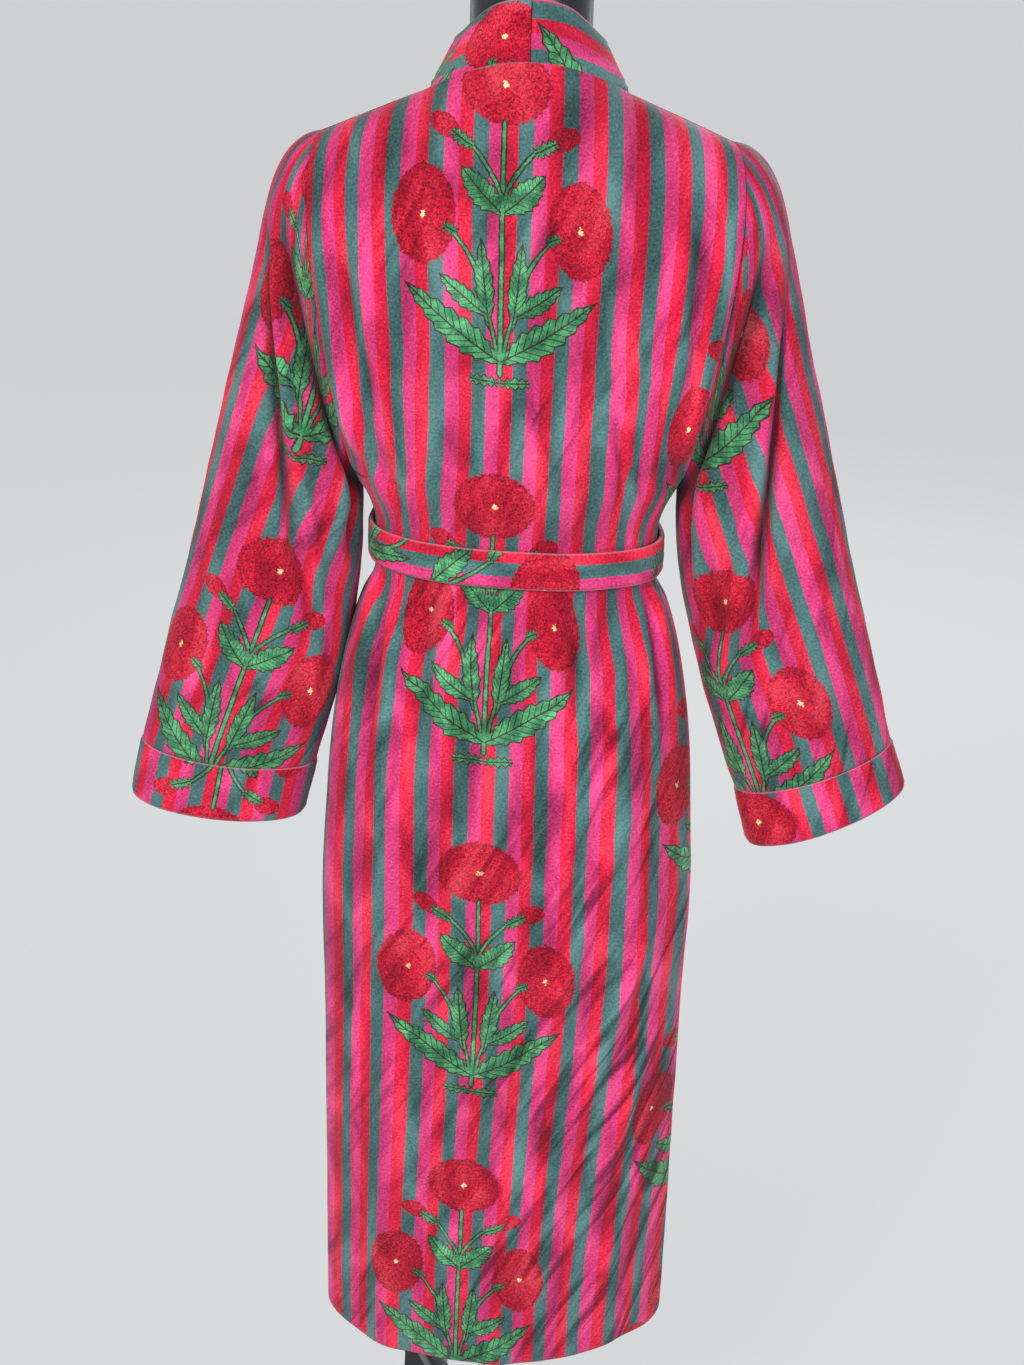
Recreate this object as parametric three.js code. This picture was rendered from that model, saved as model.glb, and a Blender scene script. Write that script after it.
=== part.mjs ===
// A velvet kimono robe on a limbless dress form with a four-castor stand.
// Millimetres, +Z up, floor at Z = 0. The wearer's left is +X and the front faces -Y.
import * as THREE from "three";

const mix = THREE.MathUtils.lerp;
const ramp = THREE.MathUtils.smoothstep;
const vec = (x, y, z) => new THREE.Vector3(x, y, z);
const DEGREE = Math.PI / 180;

// Cloth thicknesses: one layer of velvet, and the doubled bands at neck, cuffs and waist.
const CLOTH = 1.8;
const BAND = 3;
const SEAM = 0.3;

// Heights of the robe above the floor.
const HEM_Z = 284;
const UNDERARM_Z = 1168;
const SHOULDER_TIP_Z = 1442;
const NECK_SIDE_Z = 1478;
const NECK_BACK_RISE = 26;
const NECK_FRONT_DROP = 8;

// Armhole: from the underarm to the shoulder tip, bowed out over the shoulder blade.
const UNDERARM_X = 141;
const SHOULDER_TIP_X = 165;
const ARMHOLE_DEPTH = 74;
const ARMHOLE_BOW = 10;

// Neck seam: half width and depth, and where its side falls across the shoulder line.
const NECK_SIDE_X = 78;
const NECK_DEPTH = 63;
const NECK_U = NECK_SIDE_X / SHOULDER_TIP_X;

// The body's sections from hem to shoulder: half width, and depth behind and before the axis.
const BODY = [
  { z: 284, side: 168, back: 92, front: 112 },
  { z: 640, side: 168, back: 95, front: 112 },
  { z: 760, side: 170, back: 97, front: 113 },
  { z: 860, side: 165, back: 96, front: 111 },
  { z: 935, side: 159, back: 92, front: 108 },
  { z: 1005, side: 147, back: 86, front: 103 },
  { z: 1045, side: 135, back: 81, front: 99 },
  { z: 1074, side: 121, back: 77, front: 97 },
  { z: 1120, side: 121, back: 77, front: 97 },
  { z: 1140, side: 126, back: 83, front: 103 },
  { z: UNDERARM_Z, side: UNDERARM_X, back: 90, front: 111 },
  { z: 1230, side: 150, back: 95, front: 119 },
  { z: 1300, side: 155, back: 96, front: 122 },
  { z: 1400, side: 160, back: 92, front: 108 },
  { z: 1510, side: 165, back: 84, front: 92 },
];

// The sections are squarer over the hips than at the hem, where the cloth hangs free. The hem lifts
// towards the side seams, and once more behind the wearer's right leg.
const SQUARE_BODY = 2.4;
const SQUARE_HEM = 2;
const HEM_LIFT = 11;
const HEM_HITCH = { u: -0.68, width: 0.17, height: 8 };

// Soft folds in the body, by the direction they face (0 is +X, 90 is the back).
// One that reaches the hem runs out through it, and the others die away.
const FOLDS = [
  { at: 40, lean: -5, top: 1066, bottom: 284, depth: 6, width: 9 },
  { at: 61, lean: 3, top: 1060, bottom: 560, depth: 4, width: 7 },
  { at: 84, lean: 8, top: 1000, bottom: 284, depth: 3, width: 10 },
  { at: 118, lean: 2, top: 1060, bottom: 500, depth: 4, width: 8 },
  { at: 140, lean: 6, top: 1066, bottom: 284, depth: 6, width: 8 },
  { at: 203, lean: 4, top: 1050, bottom: 284, depth: 5, width: 9 },
  { at: 231, lean: 6, top: 1060, bottom: 440, depth: 4, width: 9 },
  { at: 316, lean: -6, top: 1060, bottom: 284, depth: 5, width: 9 },
  { at: 338, lean: -3, top: 1050, bottom: 520, depth: 4, width: 8 },
  { at: 48, lean: 6, top: 1290, bottom: 1128, depth: 5, width: 7 },
  { at: 132, lean: -5, top: 1300, bottom: 1128, depth: 6, width: 8 },
];

// Wrap of the fronts: where each band's seam runs at the belt, and how far the left one lies out.
const BELT_TOP_Z = 1114;
const BELT_HEIGHT = 30;
const BAND_WIDTH = 50;
const NECK_BAND_WIDTH = 46;
const OUTER_SEAM_X = -40;
const INNER_SEAM_X = -20;
const LAP = 9;
const LAP_START_X = 105;
const LAP_FULL_X = 65;

// Height of each row of the body below the underarm. Rows above it share the armhole's steps.
const LOW_ROWS = [HEM_Z, 380, 500, 620, 730, 830, 910, 980, 1035, 1072, 1120, 1142];
const RING_STEPS = 20;
const HALF_RING = RING_STEPS / 2;
const NECK_COLUMNS = 4;
const SIDE_COLUMNS = 8;
const FRONT_COLUMNS = 10;

// Sleeves: the seam and the edge of each cuff, as outer and inner [x, z] in the side's own sense.
const SLEEVES = {
  left: { side: 1, seam: [[333, 903], [178, 886]], edge: [[344, 851], [190, 836]] },
  right: { side: -1, seam: [[343, 922], [208, 871]], edge: [[359, 879], [223, 818]] },
};
const SLEEVE_DEPTH = 44;
const SLEEVE_ROWS = [0, 0.02, 0.05, 0.1, 0.17, 0.26, 0.37, 0.5, 0.64, 0.79, 0.91, 1];
const SLEEVE_CAP = 28;
const SLEEVE_CAP_RISE = 0.028;
const SLEEVE_TUCK = 17;

// The dress form lies inside the cloth by this much, and just under it on the shoulders.
const FORM_EASE = 8;
const FORM_RIDGE_EASE = 2.1;
const FORM_BOTTOM_Z = 745;
const FORM_NECK_R = 49;
const FORM_TOP_Z = 1590;

// Stand: column, hub, and four legs with castors.
const POLE_R = 14;
const FLANGE_R = 45;
const HUB_R = 38;
const HUB_BOTTOM_Z = 66;
const HUB_TOP_Z = 100;
const LEG_REACH = 225;
const LEG_WIDTH = 22;
const FIRST_LEG = -66.7;
const CASTOR_TOP_Z = 57.7;
const WHEEL_R = 25;
const WHEEL_WIDTH = 19.4;
const FORK_GAP = 20;
const FORK_WALL = 3;
const TRAIL = 12;

const paint = (color, roughness, metalness = 0) =>
  new THREE.MeshStandardMaterial({ color, roughness, metalness });
const velvet = paint(0x3f7275, 0.85);
const velvetBand = paint(0xb8305f, 0.85);
const formFinish = paint(0x141517, 0.25);
const chrome = paint(0xc8ccd0, 0.12, 1);
const blackEnamel = paint(0x17181a, 0.4);
const wheelPlastic = paint(0x8d9094, 0.5);

const robe = new THREE.Group();
const dressForm = new THREE.Group();
const part = new THREE.Group();
part.add(robe, dressForm);

function addMesh(group, name, geometry, material) {
  const mesh = new THREE.Mesh(geometry, material);
  mesh.name = name;
  group.add(mesh);
  return mesh;
}

// A column of a table, read at any height on a smooth curve through its rows.
function column(rows, key) {
  const slope = (i) => {
    const a = rows[Math.max(0, i - 1)];
    const b = rows[Math.min(rows.length - 1, i + 1)];
    const before = rows[i][key] - a[key];
    const after = b[key] - rows[i][key];
    return before * after <= 0 ? 0 : (b[key] - a[key]) / (b.z - a.z);
  };
  return (z) => {
    const i = Math.max(1, rows.findIndex((row, k) => k > 0 && z <= row.z));
    const a = rows[i - 1];
    const b = rows[i];
    const span = b.z - a.z;
    const t = THREE.MathUtils.clamp((z - a.z) / span, 0, 1);
    const ease = t * t * (3 - 2 * t);
    const lift = t * (1 - t) * (slope(i - 1) * (1 - t) - slope(i) * t) * span;
    return mix(a[key], b[key], ease) + lift;
  };
}
const sideAt = column(BODY, "side");
const backAt = column(BODY, "back");
const frontAt = column(BODY, "front");

// The armhole at a share of its height, from the underarm (0) to the shoulder tip (1).
function armhole(share) {
  const cos = 2 * share - 1;
  const sin = Math.sqrt(Math.max(0, 1 - cos * cos));
  const x = mix(UNDERARM_X, SHOULDER_TIP_X, share) + ARMHOLE_BOW * sin * (1 + cos);
  return { x, y: ARMHOLE_DEPTH * sin };
}

function shoulderZ(face, across) {
  if (across >= NECK_U)
    return mix(NECK_SIDE_Z, SHOULDER_TIP_Z, (across - NECK_U) / (1 - NECK_U));
  const dip = 1 - (across / NECK_U) ** 2;
  return NECK_SIDE_Z + (face > 0 ? NECK_BACK_RISE : -NECK_FRONT_DROP) * dip;
}

function foldHeight(angle, z) {
  let height = 0;
  for (const fold of FOLDS) {
    const along = (fold.top - z) / (fold.top - fold.bottom);
    if (along < 0 || along > 1) continue;
    const tail = fold.bottom > HEM_Z ? 1 - ramp(along, 0.6, 1) : 1;
    const off = (angle - fold.at - fold.lean * along) / fold.width;
    height += fold.depth * ramp(along, 0, 0.25) * tail * Math.exp(-off * off);
  }
  return height;
}

function hemLift(face, u) {
  const off = (u - HEM_HITCH.u) / HEM_HITCH.width;
  const hitch = face > 0 ? HEM_HITCH.height * Math.exp(-off * off) : 0;
  return HEM_LIFT * u * u + hitch;
}

// A point of the body. face is 1 for the back and -1 for the front, u runs across from -1 to 1,
// and level runs from the hem (0) by the underarm (1) to the shoulder (2). With ease it is the form.
function bodyPoint(face, u, level, ease = 0) {
  const across = Math.abs(u);
  const share = Math.max(0, level - 1);
  const crown = shoulderZ(face, across) - (ease > 0 ? FORM_RIDGE_EASE : 0);
  const hem = HEM_Z + (ease > 0 ? 0 : hemLift(face, u));
  const z = level < 1 ? mix(hem, UNDERARM_Z, level) : mix(UNDERARM_Z, crown, share);
  const arm = armhole(share);
  const square = mix(SQUARE_HEM, SQUARE_BODY, ramp(level, 0, 0.4));
  const edge = (level < 1 ? sideAt(z) : arm.x) - ease;
  const round = Math.max(0, 1 - across ** square) ** (1 / square);
  const fall = (1 - share ** 4) ** mix(1, 0.5, ramp(across, 0.25, 0.6));
  const depth = ((face > 0 ? backAt(z) : frontAt(z)) - ease) * round * fall;
  const armDepth = ease > 0 ? 0 : (1 - round) * arm.y;
  const neckRound = Math.sqrt(Math.max(0, 1 - (across / NECK_U) ** 2));
  const neck = (NECK_DEPTH - ease) * neckRound * (1 - fall);
  const point = vec(u * edge, face * (depth + armDepth + neck), z);
  if (ease > 0) return point;
  const angle = (Math.atan2(point.y, point.x) / DEGREE + 360) % 360;
  const reach = Math.hypot(point.x, point.y);
  const grow = 1 + foldHeight(angle, z) / reach;
  return vec(point.x * grow, point.y * grow + (face * SEAM) / 2, z);
}

// Levels of the body's rows, with the upper ones at the armhole's own steps.
const LEVELS = [
  ...LOW_ROWS.map((z) => (z - HEM_Z) / (UNDERARM_Z - HEM_Z)),
  ...Array.from({ length: HALF_RING + 1 }, (_, k) => 1.5 - Math.cos((k * Math.PI) / HALF_RING) / 2),
];
const heightOf = (level) =>
  level < 1 ? mix(HEM_Z, UNDERARM_Z, level) : mix(UNDERARM_Z, NECK_SIDE_Z, level - 1);

// A wall from a grid of outer points: rows of points, a thickness taken inwards, and one closed skin.
// facing is 1 where row direction x column direction points out of the wall. rim may turn a normal.
function wallGeometry(grid, thickness, { facing = 1, ring = false, rim = null } = {}) {
  const rows = grid.length;
  const columns = grid[0].length;
  const wrap = (j) => (ring ? (j + columns) % columns : THREE.MathUtils.clamp(j, 0, columns - 1));
  const inner = grid.map((row, i) =>
    row.map((point, j) => {
      const up = grid[Math.min(rows - 1, i + 1)][j].clone().sub(grid[Math.max(0, i - 1)][j]);
      const along = row[wrap(j + 1)].clone().sub(row[wrap(j - 1)]);
      const normal = up.cross(along).normalize().multiplyScalar(facing);
      if (rim) rim(normal, i, j);
      return point.clone().addScaledVector(normal.normalize(), -thickness);
    }),
  );
  const faces = [];
  const quad = (a, b, c, d) => faces.push(a, b, c, a, c, d);
  const last = ring ? columns : columns - 1;
  for (let i = 0; i < rows - 1; i++)
    for (let j = 0; j < last; j++) {
      const k = wrap(j + 1);
      quad(grid[i][j], grid[i][k], grid[i + 1][k], grid[i + 1][j]);
      quad(inner[i][j], inner[i + 1][j], inner[i + 1][k], inner[i][k]);
    }
  for (let j = 0; j < last; j++) {
    const k = wrap(j + 1);
    quad(grid[0][j], inner[0][j], inner[0][k], grid[0][k]);
    quad(grid[rows - 1][k], inner[rows - 1][k], inner[rows - 1][j], grid[rows - 1][j]);
  }
  if (!ring)
    for (let i = 0; i < rows - 1; i++) {
      const end = columns - 1;
      quad(grid[i][0], grid[i + 1][0], inner[i + 1][0], inner[i][0]);
      quad(grid[i][end], inner[i][end], inner[i + 1][end], grid[i + 1][end]);
    }
  return skin(faces);
}

// A geometry from a list of triangle corners, turned to face out.
function skin(corners) {
  let volume = 0;
  for (let i = 0; i < corners.length; i += 3)
    volume += corners[i].dot(corners[i + 1].clone().cross(corners[i + 2]));
  if (volume < 0)
    for (let i = 0; i < corners.length; i += 3)
      [corners[i + 1], corners[i + 2]] = [corners[i + 2], corners[i + 1]];
  const geometry = new THREE.BufferGeometry().setFromPoints(corners);
  geometry.computeVertexNormals();
  return geometry;
}

// Along the armhole both walls open away from the seam: straight out round the top and the back,
// and turning to opposite sides at the underarm.
function armholeNormal(normal, share, sideways) {
  const cos = 2 * share - 1;
  const sin = Math.sqrt(Math.max(0, 1 - cos * cos));
  const face = Math.sign(normal.y) || 1;
  const half = (SHOULDER_TIP_Z - UNDERARM_Z) / 2;
  const out = vec(0, (face * sin) / ARMHOLE_DEPTH, cos / half).normalize();
  const turn = ramp(-cos, -0.2, 0.95);
  normal.copy(out.multiplyScalar(1 - turn).add(vec(sideways * turn, 0, 0)));
}

// Normals of a body panel's rims: level at the side seams, upright on the shoulder.
function panelRim(levels, us) {
  return (normal, i, j) => {
    const level = levels[i];
    const edge = Math.abs(us[i][j]) > 0.9999;
    if (edge && level > 1) armholeNormal(normal, level - 1, Math.sign(us[i][j]));
    else if (edge) normal.y = 0;
    else if (level > 1.9999 && Math.abs(us[i][j]) > NECK_U - 1e-6) normal.y = 0;
  };
}

// Columns of the back: an even share across the neck, closer towards the sides.
const neckSteps = Array.from({ length: NECK_COLUMNS }, (_, k) => (NECK_U * k) / NECK_COLUMNS);
const sideSteps = Array.from({ length: SIDE_COLUMNS + 1 }, (_, k) =>
  Math.sin(mix(Math.asin(NECK_U), Math.PI / 2, k / SIDE_COLUMNS)),
);
const halfColumns = [...neckSteps, ...sideSteps];
const BACK_COLUMNS = [...halfColumns.slice(1).reverse().map((u) => -u), ...halfColumns];

function backPanel() {
  const us = LEVELS.map(() => BACK_COLUMNS);
  const grid = LEVELS.map((level) => BACK_COLUMNS.map((u) => bodyPoint(1, u, level)));
  return wallGeometry(grid, CLOTH, { rim: panelRim(LEVELS, us) });
}
addMesh(robe, "back", backPanel(), velvet);

// The fronts are worked out for a left one, and mirrored for the right one, which lies underneath.
// seamX is where the band's seam runs: straight from hem to belt, then curving up to the neck.
function seamX(lapX, z) {
  const rise = THREE.MathUtils.clamp((z - BELT_TOP_Z) / (NECK_SIDE_Z - BELT_TOP_Z), 0, 1);
  return mix(lapX, NECK_SIDE_X, 1 - (1 - rise) ** 2.2);
}

const FRONTS = {
  left: { side: 1, lapX: OUTER_SEAM_X, lap: LAP },
  right: { side: -1, lapX: INNER_SEAM_X, lap: 0 },
};

// u of a distance x from the centre, on the front at a level.
function acrossAt(x, level) {
  const edge = level < 1 ? sideAt(heightOf(level)) : armhole(level - 1).x;
  return x / edge;
}

function frontPoint(front, u, level) {
  const point = bodyPoint(-1, u * front.side, level);
  const x = point.x * front.side;
  const low = 1 - ramp(level, 1.55, 1.9);
  point.y -= front.lap * (1 - ramp(x, LAP_FULL_X, LAP_START_X)) * low;
  return point;
}

function frontPanel(front) {
  const us = LEVELS.map((level) => {
    const seam = Math.asin(acrossAt(seamX(front.lapX, heightOf(level)), level));
    return Array.from({ length: FRONT_COLUMNS + 1 }, (_, k) =>
      Math.sin(mix(Math.PI / 2, seam, k / FRONT_COLUMNS)),
    );
  });
  const grid = us.map((row, i) => row.map((u) => frontPoint(front, u, LEVELS[i])));
  const signed = us.map((row) => row.map((u) => u * front.side));
  return wallGeometry(grid, CLOTH, { facing: front.side, rim: panelRim(LEVELS, signed) });
}
for (const [name, front] of Object.entries(FRONTS))
  addMesh(robe, "front_" + name, frontPanel(front), velvet);

// The band's direction where it stands up round the neck, at the shoulder line and at the back.
const BAND_LEAN = 0.53;
function standing(side, x, y) {
  const round = Math.hypot(x / NECK_SIDE_X, y / NECK_DEPTH) || 1;
  const inward = vec((-side * Math.abs(x)) / NECK_SIDE_X, -y / NECK_DEPTH, 0).divideScalar(round);
  const lean = mix(0.12, BAND_LEAN, ramp(Math.abs(x), 0, NECK_SIDE_X));
  return inward.multiplyScalar(lean).add(vec(0, 0, 1)).normalize();
}

// One half of the collar band, from the centre back round the neck and down the front to the hem.
function collarHalf(front) {
  const shares = [0, 0.5, 1];
  const rowFrom = (seam, direction) =>
    shares.map((share) =>
      seam.clone().addScaledVector(direction, mix(2 * SEAM, NECK_BAND_WIDTH, share)),
    );
  const grid = [];
  for (const u of neckSteps) {
    const seam = bodyPoint(1, u * front.side, 2);
    if (u === 0) seam.x = (front.side * SEAM) / 2;
    grid.push(rowFrom(seam, standing(front.side, seam.x, seam.y)));
  }
  for (const level of LEVELS.toReversed()) {
    const z = heightOf(level);
    const x = seamX(front.lapX, z);
    const seam = frontPoint(front, acrossAt(x, level), level);
    const upright = ramp(level, 1.6, 1.98);
    const stand = rowFrom(seam, standing(front.side, seam.x, seam.y));
    const slope = (seamX(front.lapX, z + 5) - seamX(front.lapX, z - 5)) / 10;
    const reach = BAND_WIDTH * Math.min(1.2, Math.hypot(1, slope));
    const lying = shares.map((share) =>
      frontPoint(front, acrossAt(x - mix(2 * SEAM, reach, share), level), level),
    );
    grid.push(lying.map((point, k) => point.lerp(stand[k], upright)));
  }
  const rim = (normal, i) => {
    if (i === 0) normal.x = 0;
  };
  return wallGeometry(grid, BAND, { facing: -front.side, rim });
}
for (const [name, front] of Object.entries(FRONTS))
  addMesh(robe, "collar_" + name, collarHalf(front), velvetBand);

// A ring of a sleeve: outer and inner are [x, z], and bow carries the ring's crown off its chord.
function sleeveRing(side, outer, inner, depth, bow, gap) {
  const chord = vec(outer[0] - inner[0], 0, outer[1] - inner[1]);
  const middle = vec((outer[0] + inner[0]) / 2, 0, (outer[1] + inner[1]) / 2);
  const off = vec(chord.z, 0, -chord.x).normalize();
  return Array.from({ length: RING_STEPS }, (_, k) => {
    const angle = (k * 2 * Math.PI) / RING_STEPS;
    const crown = bow * Math.abs(Math.sin(angle)) * (1 + Math.cos(angle));
    const point = middle.clone().addScaledVector(chord, Math.cos(angle) / 2).addScaledVector(off, crown);
    return vec(side * (point.x + gap), depth * Math.sin(angle), point.z);
  });
}

function sleeveRow(sleeve, t) {
  const [outerEnd, innerEnd] = sleeve.seam;
  const outer = [mix(SHOULDER_TIP_X, outerEnd[0], t), mix(SHOULDER_TIP_Z, outerEnd[1], t)];
  const inner = [mix(UNDERARM_X, innerEnd[0], t), mix(UNDERARM_Z, innerEnd[1], t)];
  const cap = SLEEVE_CAP * (1 - t) ** 1.2 * (1 - Math.exp(-t / SLEEVE_CAP_RISE));
  const slant = Math.atan2(outerEnd[0] - SHOULDER_TIP_X, SHOULDER_TIP_Z - outerEnd[1]);
  outer[0] += cap * Math.cos(slant);
  outer[1] += cap * Math.sin(slant);
  inner[0] -= SLEEVE_TUCK * Math.sin(Math.PI * t ** 0.8);
  const depth = mix(ARMHOLE_DEPTH, SLEEVE_DEPTH, t ** 0.8);
  return sleeveRing(sleeve.side, outer, inner, depth, ARMHOLE_BOW * (1 - t) ** 2, 1.5 * SEAM * (1 - t));
}

function sleeveGeometry(sleeve) {
  const grid = SLEEVE_ROWS.map((t) => sleeveRow(sleeve, t));
  const rim = (normal, i, j) => {
    if (i > 0) return;
    const angle = (j * 2 * Math.PI) / RING_STEPS;
    normal.y = Math.sin(angle);
    armholeNormal(normal, (1 + Math.cos(angle)) / 2, -sleeve.side);
  };
  return wallGeometry(grid, CLOTH, { facing: sleeve.side, ring: true, rim });
}

function cuffGeometry(sleeve) {
  const grid = [0, 0.5, 1].map((t) => {
    const shift = mix(SEAM / 50, 1, t);
    const at = (k) => [0, 1].map((axis) => mix(sleeve.seam[k][axis], sleeve.edge[k][axis], shift));
    return sleeveRing(sleeve.side, at(0), at(1), SLEEVE_DEPTH, 0, 0);
  });
  return wallGeometry(grid, BAND, { facing: sleeve.side, ring: true });
}
for (const [name, sleeve] of Object.entries(SLEEVES)) {
  addMesh(robe, "sleeve_" + name, sleeveGeometry(sleeve), velvet);
  addMesh(robe, "cuff_" + name, cuffGeometry(sleeve), velvetBand);
}

// The belt lies on the cloth all round, a little lower on the wearer's right.
const BELT_THICKNESS = 3.5;
const BELT_CLEARANCE = 1.2;
const BELT_TILT = 0.03;
const BELT_STEPS = 48;
const KNOT = { x: -12, z: BELT_TOP_Z - BELT_HEIGHT / 2, width: 48, height: 38, depth: 22 };
const BELT_GAP = 4;

// How far the layers of the wrapped fronts lift the belt and its ends off the body's own ring.
function lapUnder(x) {
  const leftRamp = 1 - ramp(x, LAP_FULL_X, LAP_START_X);
  return LAP * leftRamp * ramp(x, -128, -96);
}

function beltPoint(angle, z, out) {
  const level = (z - HEM_Z) / (UNDERARM_Z - HEM_Z);
  const at = (a) => bodyPoint(Math.sin(a) < 0 ? -1 : 1, Math.cos(a), level);
  const step = 0.02;
  const point = at(angle);
  const along = at(angle + step).sub(at(angle - step));
  const normal = vec(along.y, -along.x, 0).normalize();
  if (Math.sin(angle) < 0) point.y -= lapUnder(point.x);
  return point.addScaledVector(normal, out);
}

function beltGeometry() {
  const start = (-90 + BELT_GAP) * DEGREE;
  const turn = (360 - 2 * BELT_GAP) * DEGREE;
  const out = BELT_CLEARANCE + BELT_THICKNESS;
  const grid = [0, 0.5, 1].map((share) =>
    Array.from({ length: BELT_STEPS + 1 }, (_, k) => {
      const point = beltPoint(start + (turn * k) / BELT_STEPS, BELT_TOP_Z - BELT_HEIGHT * share, out);
      point.z += BELT_TILT * point.x;
      return point;
    }),
  );
  return wallGeometry(grid, BELT_THICKNESS);
}
addMesh(robe, "belt", beltGeometry(), velvetBand);

const FRONT_OF_BELT = -(frontAt(KNOT.z) + LAP + SEAM / 2 + BELT_CLEARANCE + BELT_THICKNESS);

// The knot: a rounded block, squarer than an ellipsoid.
function knotGeometry() {
  const ball = new THREE.SphereGeometry(1, 14, 8);
  const square = (value) => Math.sign(value) * Math.abs(value) ** 0.65;
  const place = ball.getAttribute("position");
  for (let i = 0; i < place.count; i++) {
    const y = FRONT_OF_BELT - SEAM - (KNOT.depth / 2) * (1 + square(place.getY(i)));
    const x = KNOT.x + (KNOT.width / 2) * square(place.getX(i));
    place.setXYZ(i, x, y, KNOT.z + (KNOT.height / 2) * square(place.getZ(i)));
  }
  const flat = ball.toNonIndexed().getAttribute("position");
  const corners = Array.from({ length: flat.count }, (_, i) => vec().fromBufferAttribute(flat, i));
  return skin(corners);
}
addMesh(robe, "belt_knot", knotGeometry(), velvetBand);

// The belt's free ends fall from the knot, where they are pinched and stand off, and lie on the skirt.
const BELT_ENDS = {
  left: { top: 0, bottom: 22, length: 400 },
  right: { top: -26, bottom: -50, length: 360 },
};
const END_WIDTH = 37;
const END_PINCH = 22;
const END_STANDS_OFF = 8;
const END_ROWS = [0, 0.03, 0.07, 0.13, 0.22, 0.34, 0.48, 0.64, 0.82, 1];
function beltEnd(end) {
  const topZ = KNOT.z - KNOT.height / 2 - SEAM;
  const grid = END_ROWS.map((t) => {
    const z = topZ - end.length * t;
    const half = mix(END_PINCH, END_WIDTH, ramp(t, 0, 0.12)) / 2;
    const centre = mix(end.top, end.bottom, ramp(t, 0, 0.3));
    const level = (z - HEM_Z) / (UNDERARM_Z - HEM_Z);
    return [-1, 0, 1].map((across) => {
      const x = centre + across * half;
      const point = frontPoint(FRONTS.left, acrossAt(x, level), level);
      point.x = x;
      point.y -= BELT_CLEARANCE + BAND + END_STANDS_OFF * (1 - ramp(t, 0, 0.15));
      return point;
    });
  });
  return wallGeometry(grid, BAND);
}
for (const [name, end] of Object.entries(BELT_ENDS))
  addMesh(robe, "belt_end_" + name, beltEnd(end), velvetBand);

// The form's neck: how far each step is from the shoulders' ring to the round neck, and its height.
const NECK_RISE = [
  { share: 0.6, z: 1488 },
  { share: 0.86, z: 1500 },
  { share: 1, z: 1522 },
  { share: 1, z: FORM_TOP_Z },
];
const NECK_STEP = 7;

// The limbless form: the body's own sections, drawn in, closed at the arms and open to the neck.
function formGeometry() {
  const low = (FORM_BOTTOM_Z - HEM_Z) / (UNDERARM_Z - HEM_Z);
  const levels = [low, ...LEVELS.filter((level) => level > low + 0.05)];
  const rings = levels.map((level) => {
    const back = BACK_COLUMNS.map((u) => bodyPoint(1, u, level, FORM_EASE));
    const front = BACK_COLUMNS.map((u) => bodyPoint(-1, u, level, FORM_EASE));
    return [...back, ...front.reverse().slice(1, -1)];
  });
  const corners = [];
  const quad = (a, b, c, d) => corners.push(a, b, c, a, c, d);
  for (let i = 0; i < rings.length - 1; i++)
    for (let j = 0; j < rings[i].length; j++) {
      const k = (j + 1) % rings[i].length;
      quad(rings[i][j], rings[i][k], rings[i + 1][k], rings[i + 1][j]);
    }
  // The neck rises from the top ring's neck columns to a flat round end.
  const isNeck = (u) => Math.abs(u) < NECK_U + 1e-6;
  const necks = BACK_COLUMNS.filter(isNeck);
  const neckRing = (pick) => [
    ...necks.map((u) => pick(1, u)),
    ...necks.map((u) => pick(-1, u)).reverse().slice(1, -1),
  ];
  const seat = neckRing((face, u) => bodyPoint(face, u, 2, FORM_EASE));
  const rim = neckRing((face, u) => {
    const cos = u / NECK_U;
    return vec(FORM_NECK_R * cos, face * FORM_NECK_R * Math.sqrt(Math.max(0, 1 - cos * cos)), 0);
  });
  const neck = [seat];
  for (const { share, z } of NECK_RISE)
    neck.push(rim.map((point, j) => vec(mix(seat[j].x, point.x, share), mix(seat[j].y, point.y, share), z)));
  // Behind the neck the seat is higher than the first step, so each step keeps above it.
  for (let i = 1; i < neck.length - 1; i++)
    neck[i].forEach((point, j) => {
      point.z = Math.max(point.z, neck[i - 1][j].z + NECK_STEP);
    });
  for (let i = 0; i < neck.length - 1; i++)
    for (let j = 0; j < seat.length; j++) {
      const k = (j + 1) % seat.length;
      quad(neck[i][j], neck[i][k], neck[i + 1][k], neck[i + 1][j]);
    }
  const fan = (ring, centre, up) => {
    for (let j = 0; j < ring.length; j++) {
      const k = (j + 1) % ring.length;
      if (up) corners.push(ring[j], ring[k], centre);
      else corners.push(ring[k], ring[j], centre);
    }
  };
  fan(neck.at(-1), vec(0, 0, FORM_TOP_Z), true);
  fan(rings[0], vec(0, 0, FORM_BOTTOM_Z), false);
  return skin(corners);
}
addMesh(dressForm, "form_torso", formGeometry(), formFinish);

// Turned parts of the stand, as [radius, height] outlines from the axis and back to it.
function turned(outline, steps) {
  const points = outline.map(([radius, z]) => new THREE.Vector2(radius, z));
  return new THREE.LatheGeometry(points, steps).rotateX(Math.PI / 2);
}
const POLE_TOP_Z = FORM_BOTTOM_Z - SEAM;
const poleOutline = [
  [0, HUB_TOP_Z + SEAM],
  [POLE_R, HUB_TOP_Z + SEAM],
  [POLE_R, POLE_TOP_Z - 6],
  [FLANGE_R, POLE_TOP_Z - 6],
  [FLANGE_R, POLE_TOP_Z],
  [0, POLE_TOP_Z],
];
const hubOutline = [
  [0, HUB_BOTTOM_Z],
  [HUB_R - 4, HUB_BOTTOM_Z],
  [HUB_R, HUB_BOTTOM_Z + 4],
  [HUB_R, HUB_TOP_Z - 12],
  [HUB_R - 5, HUB_TOP_Z - 4],
  [POLE_R + 8, HUB_TOP_Z],
  [0, HUB_TOP_Z],
];
addMesh(dressForm, "pole", turned(poleOutline, 24), chrome);
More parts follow.
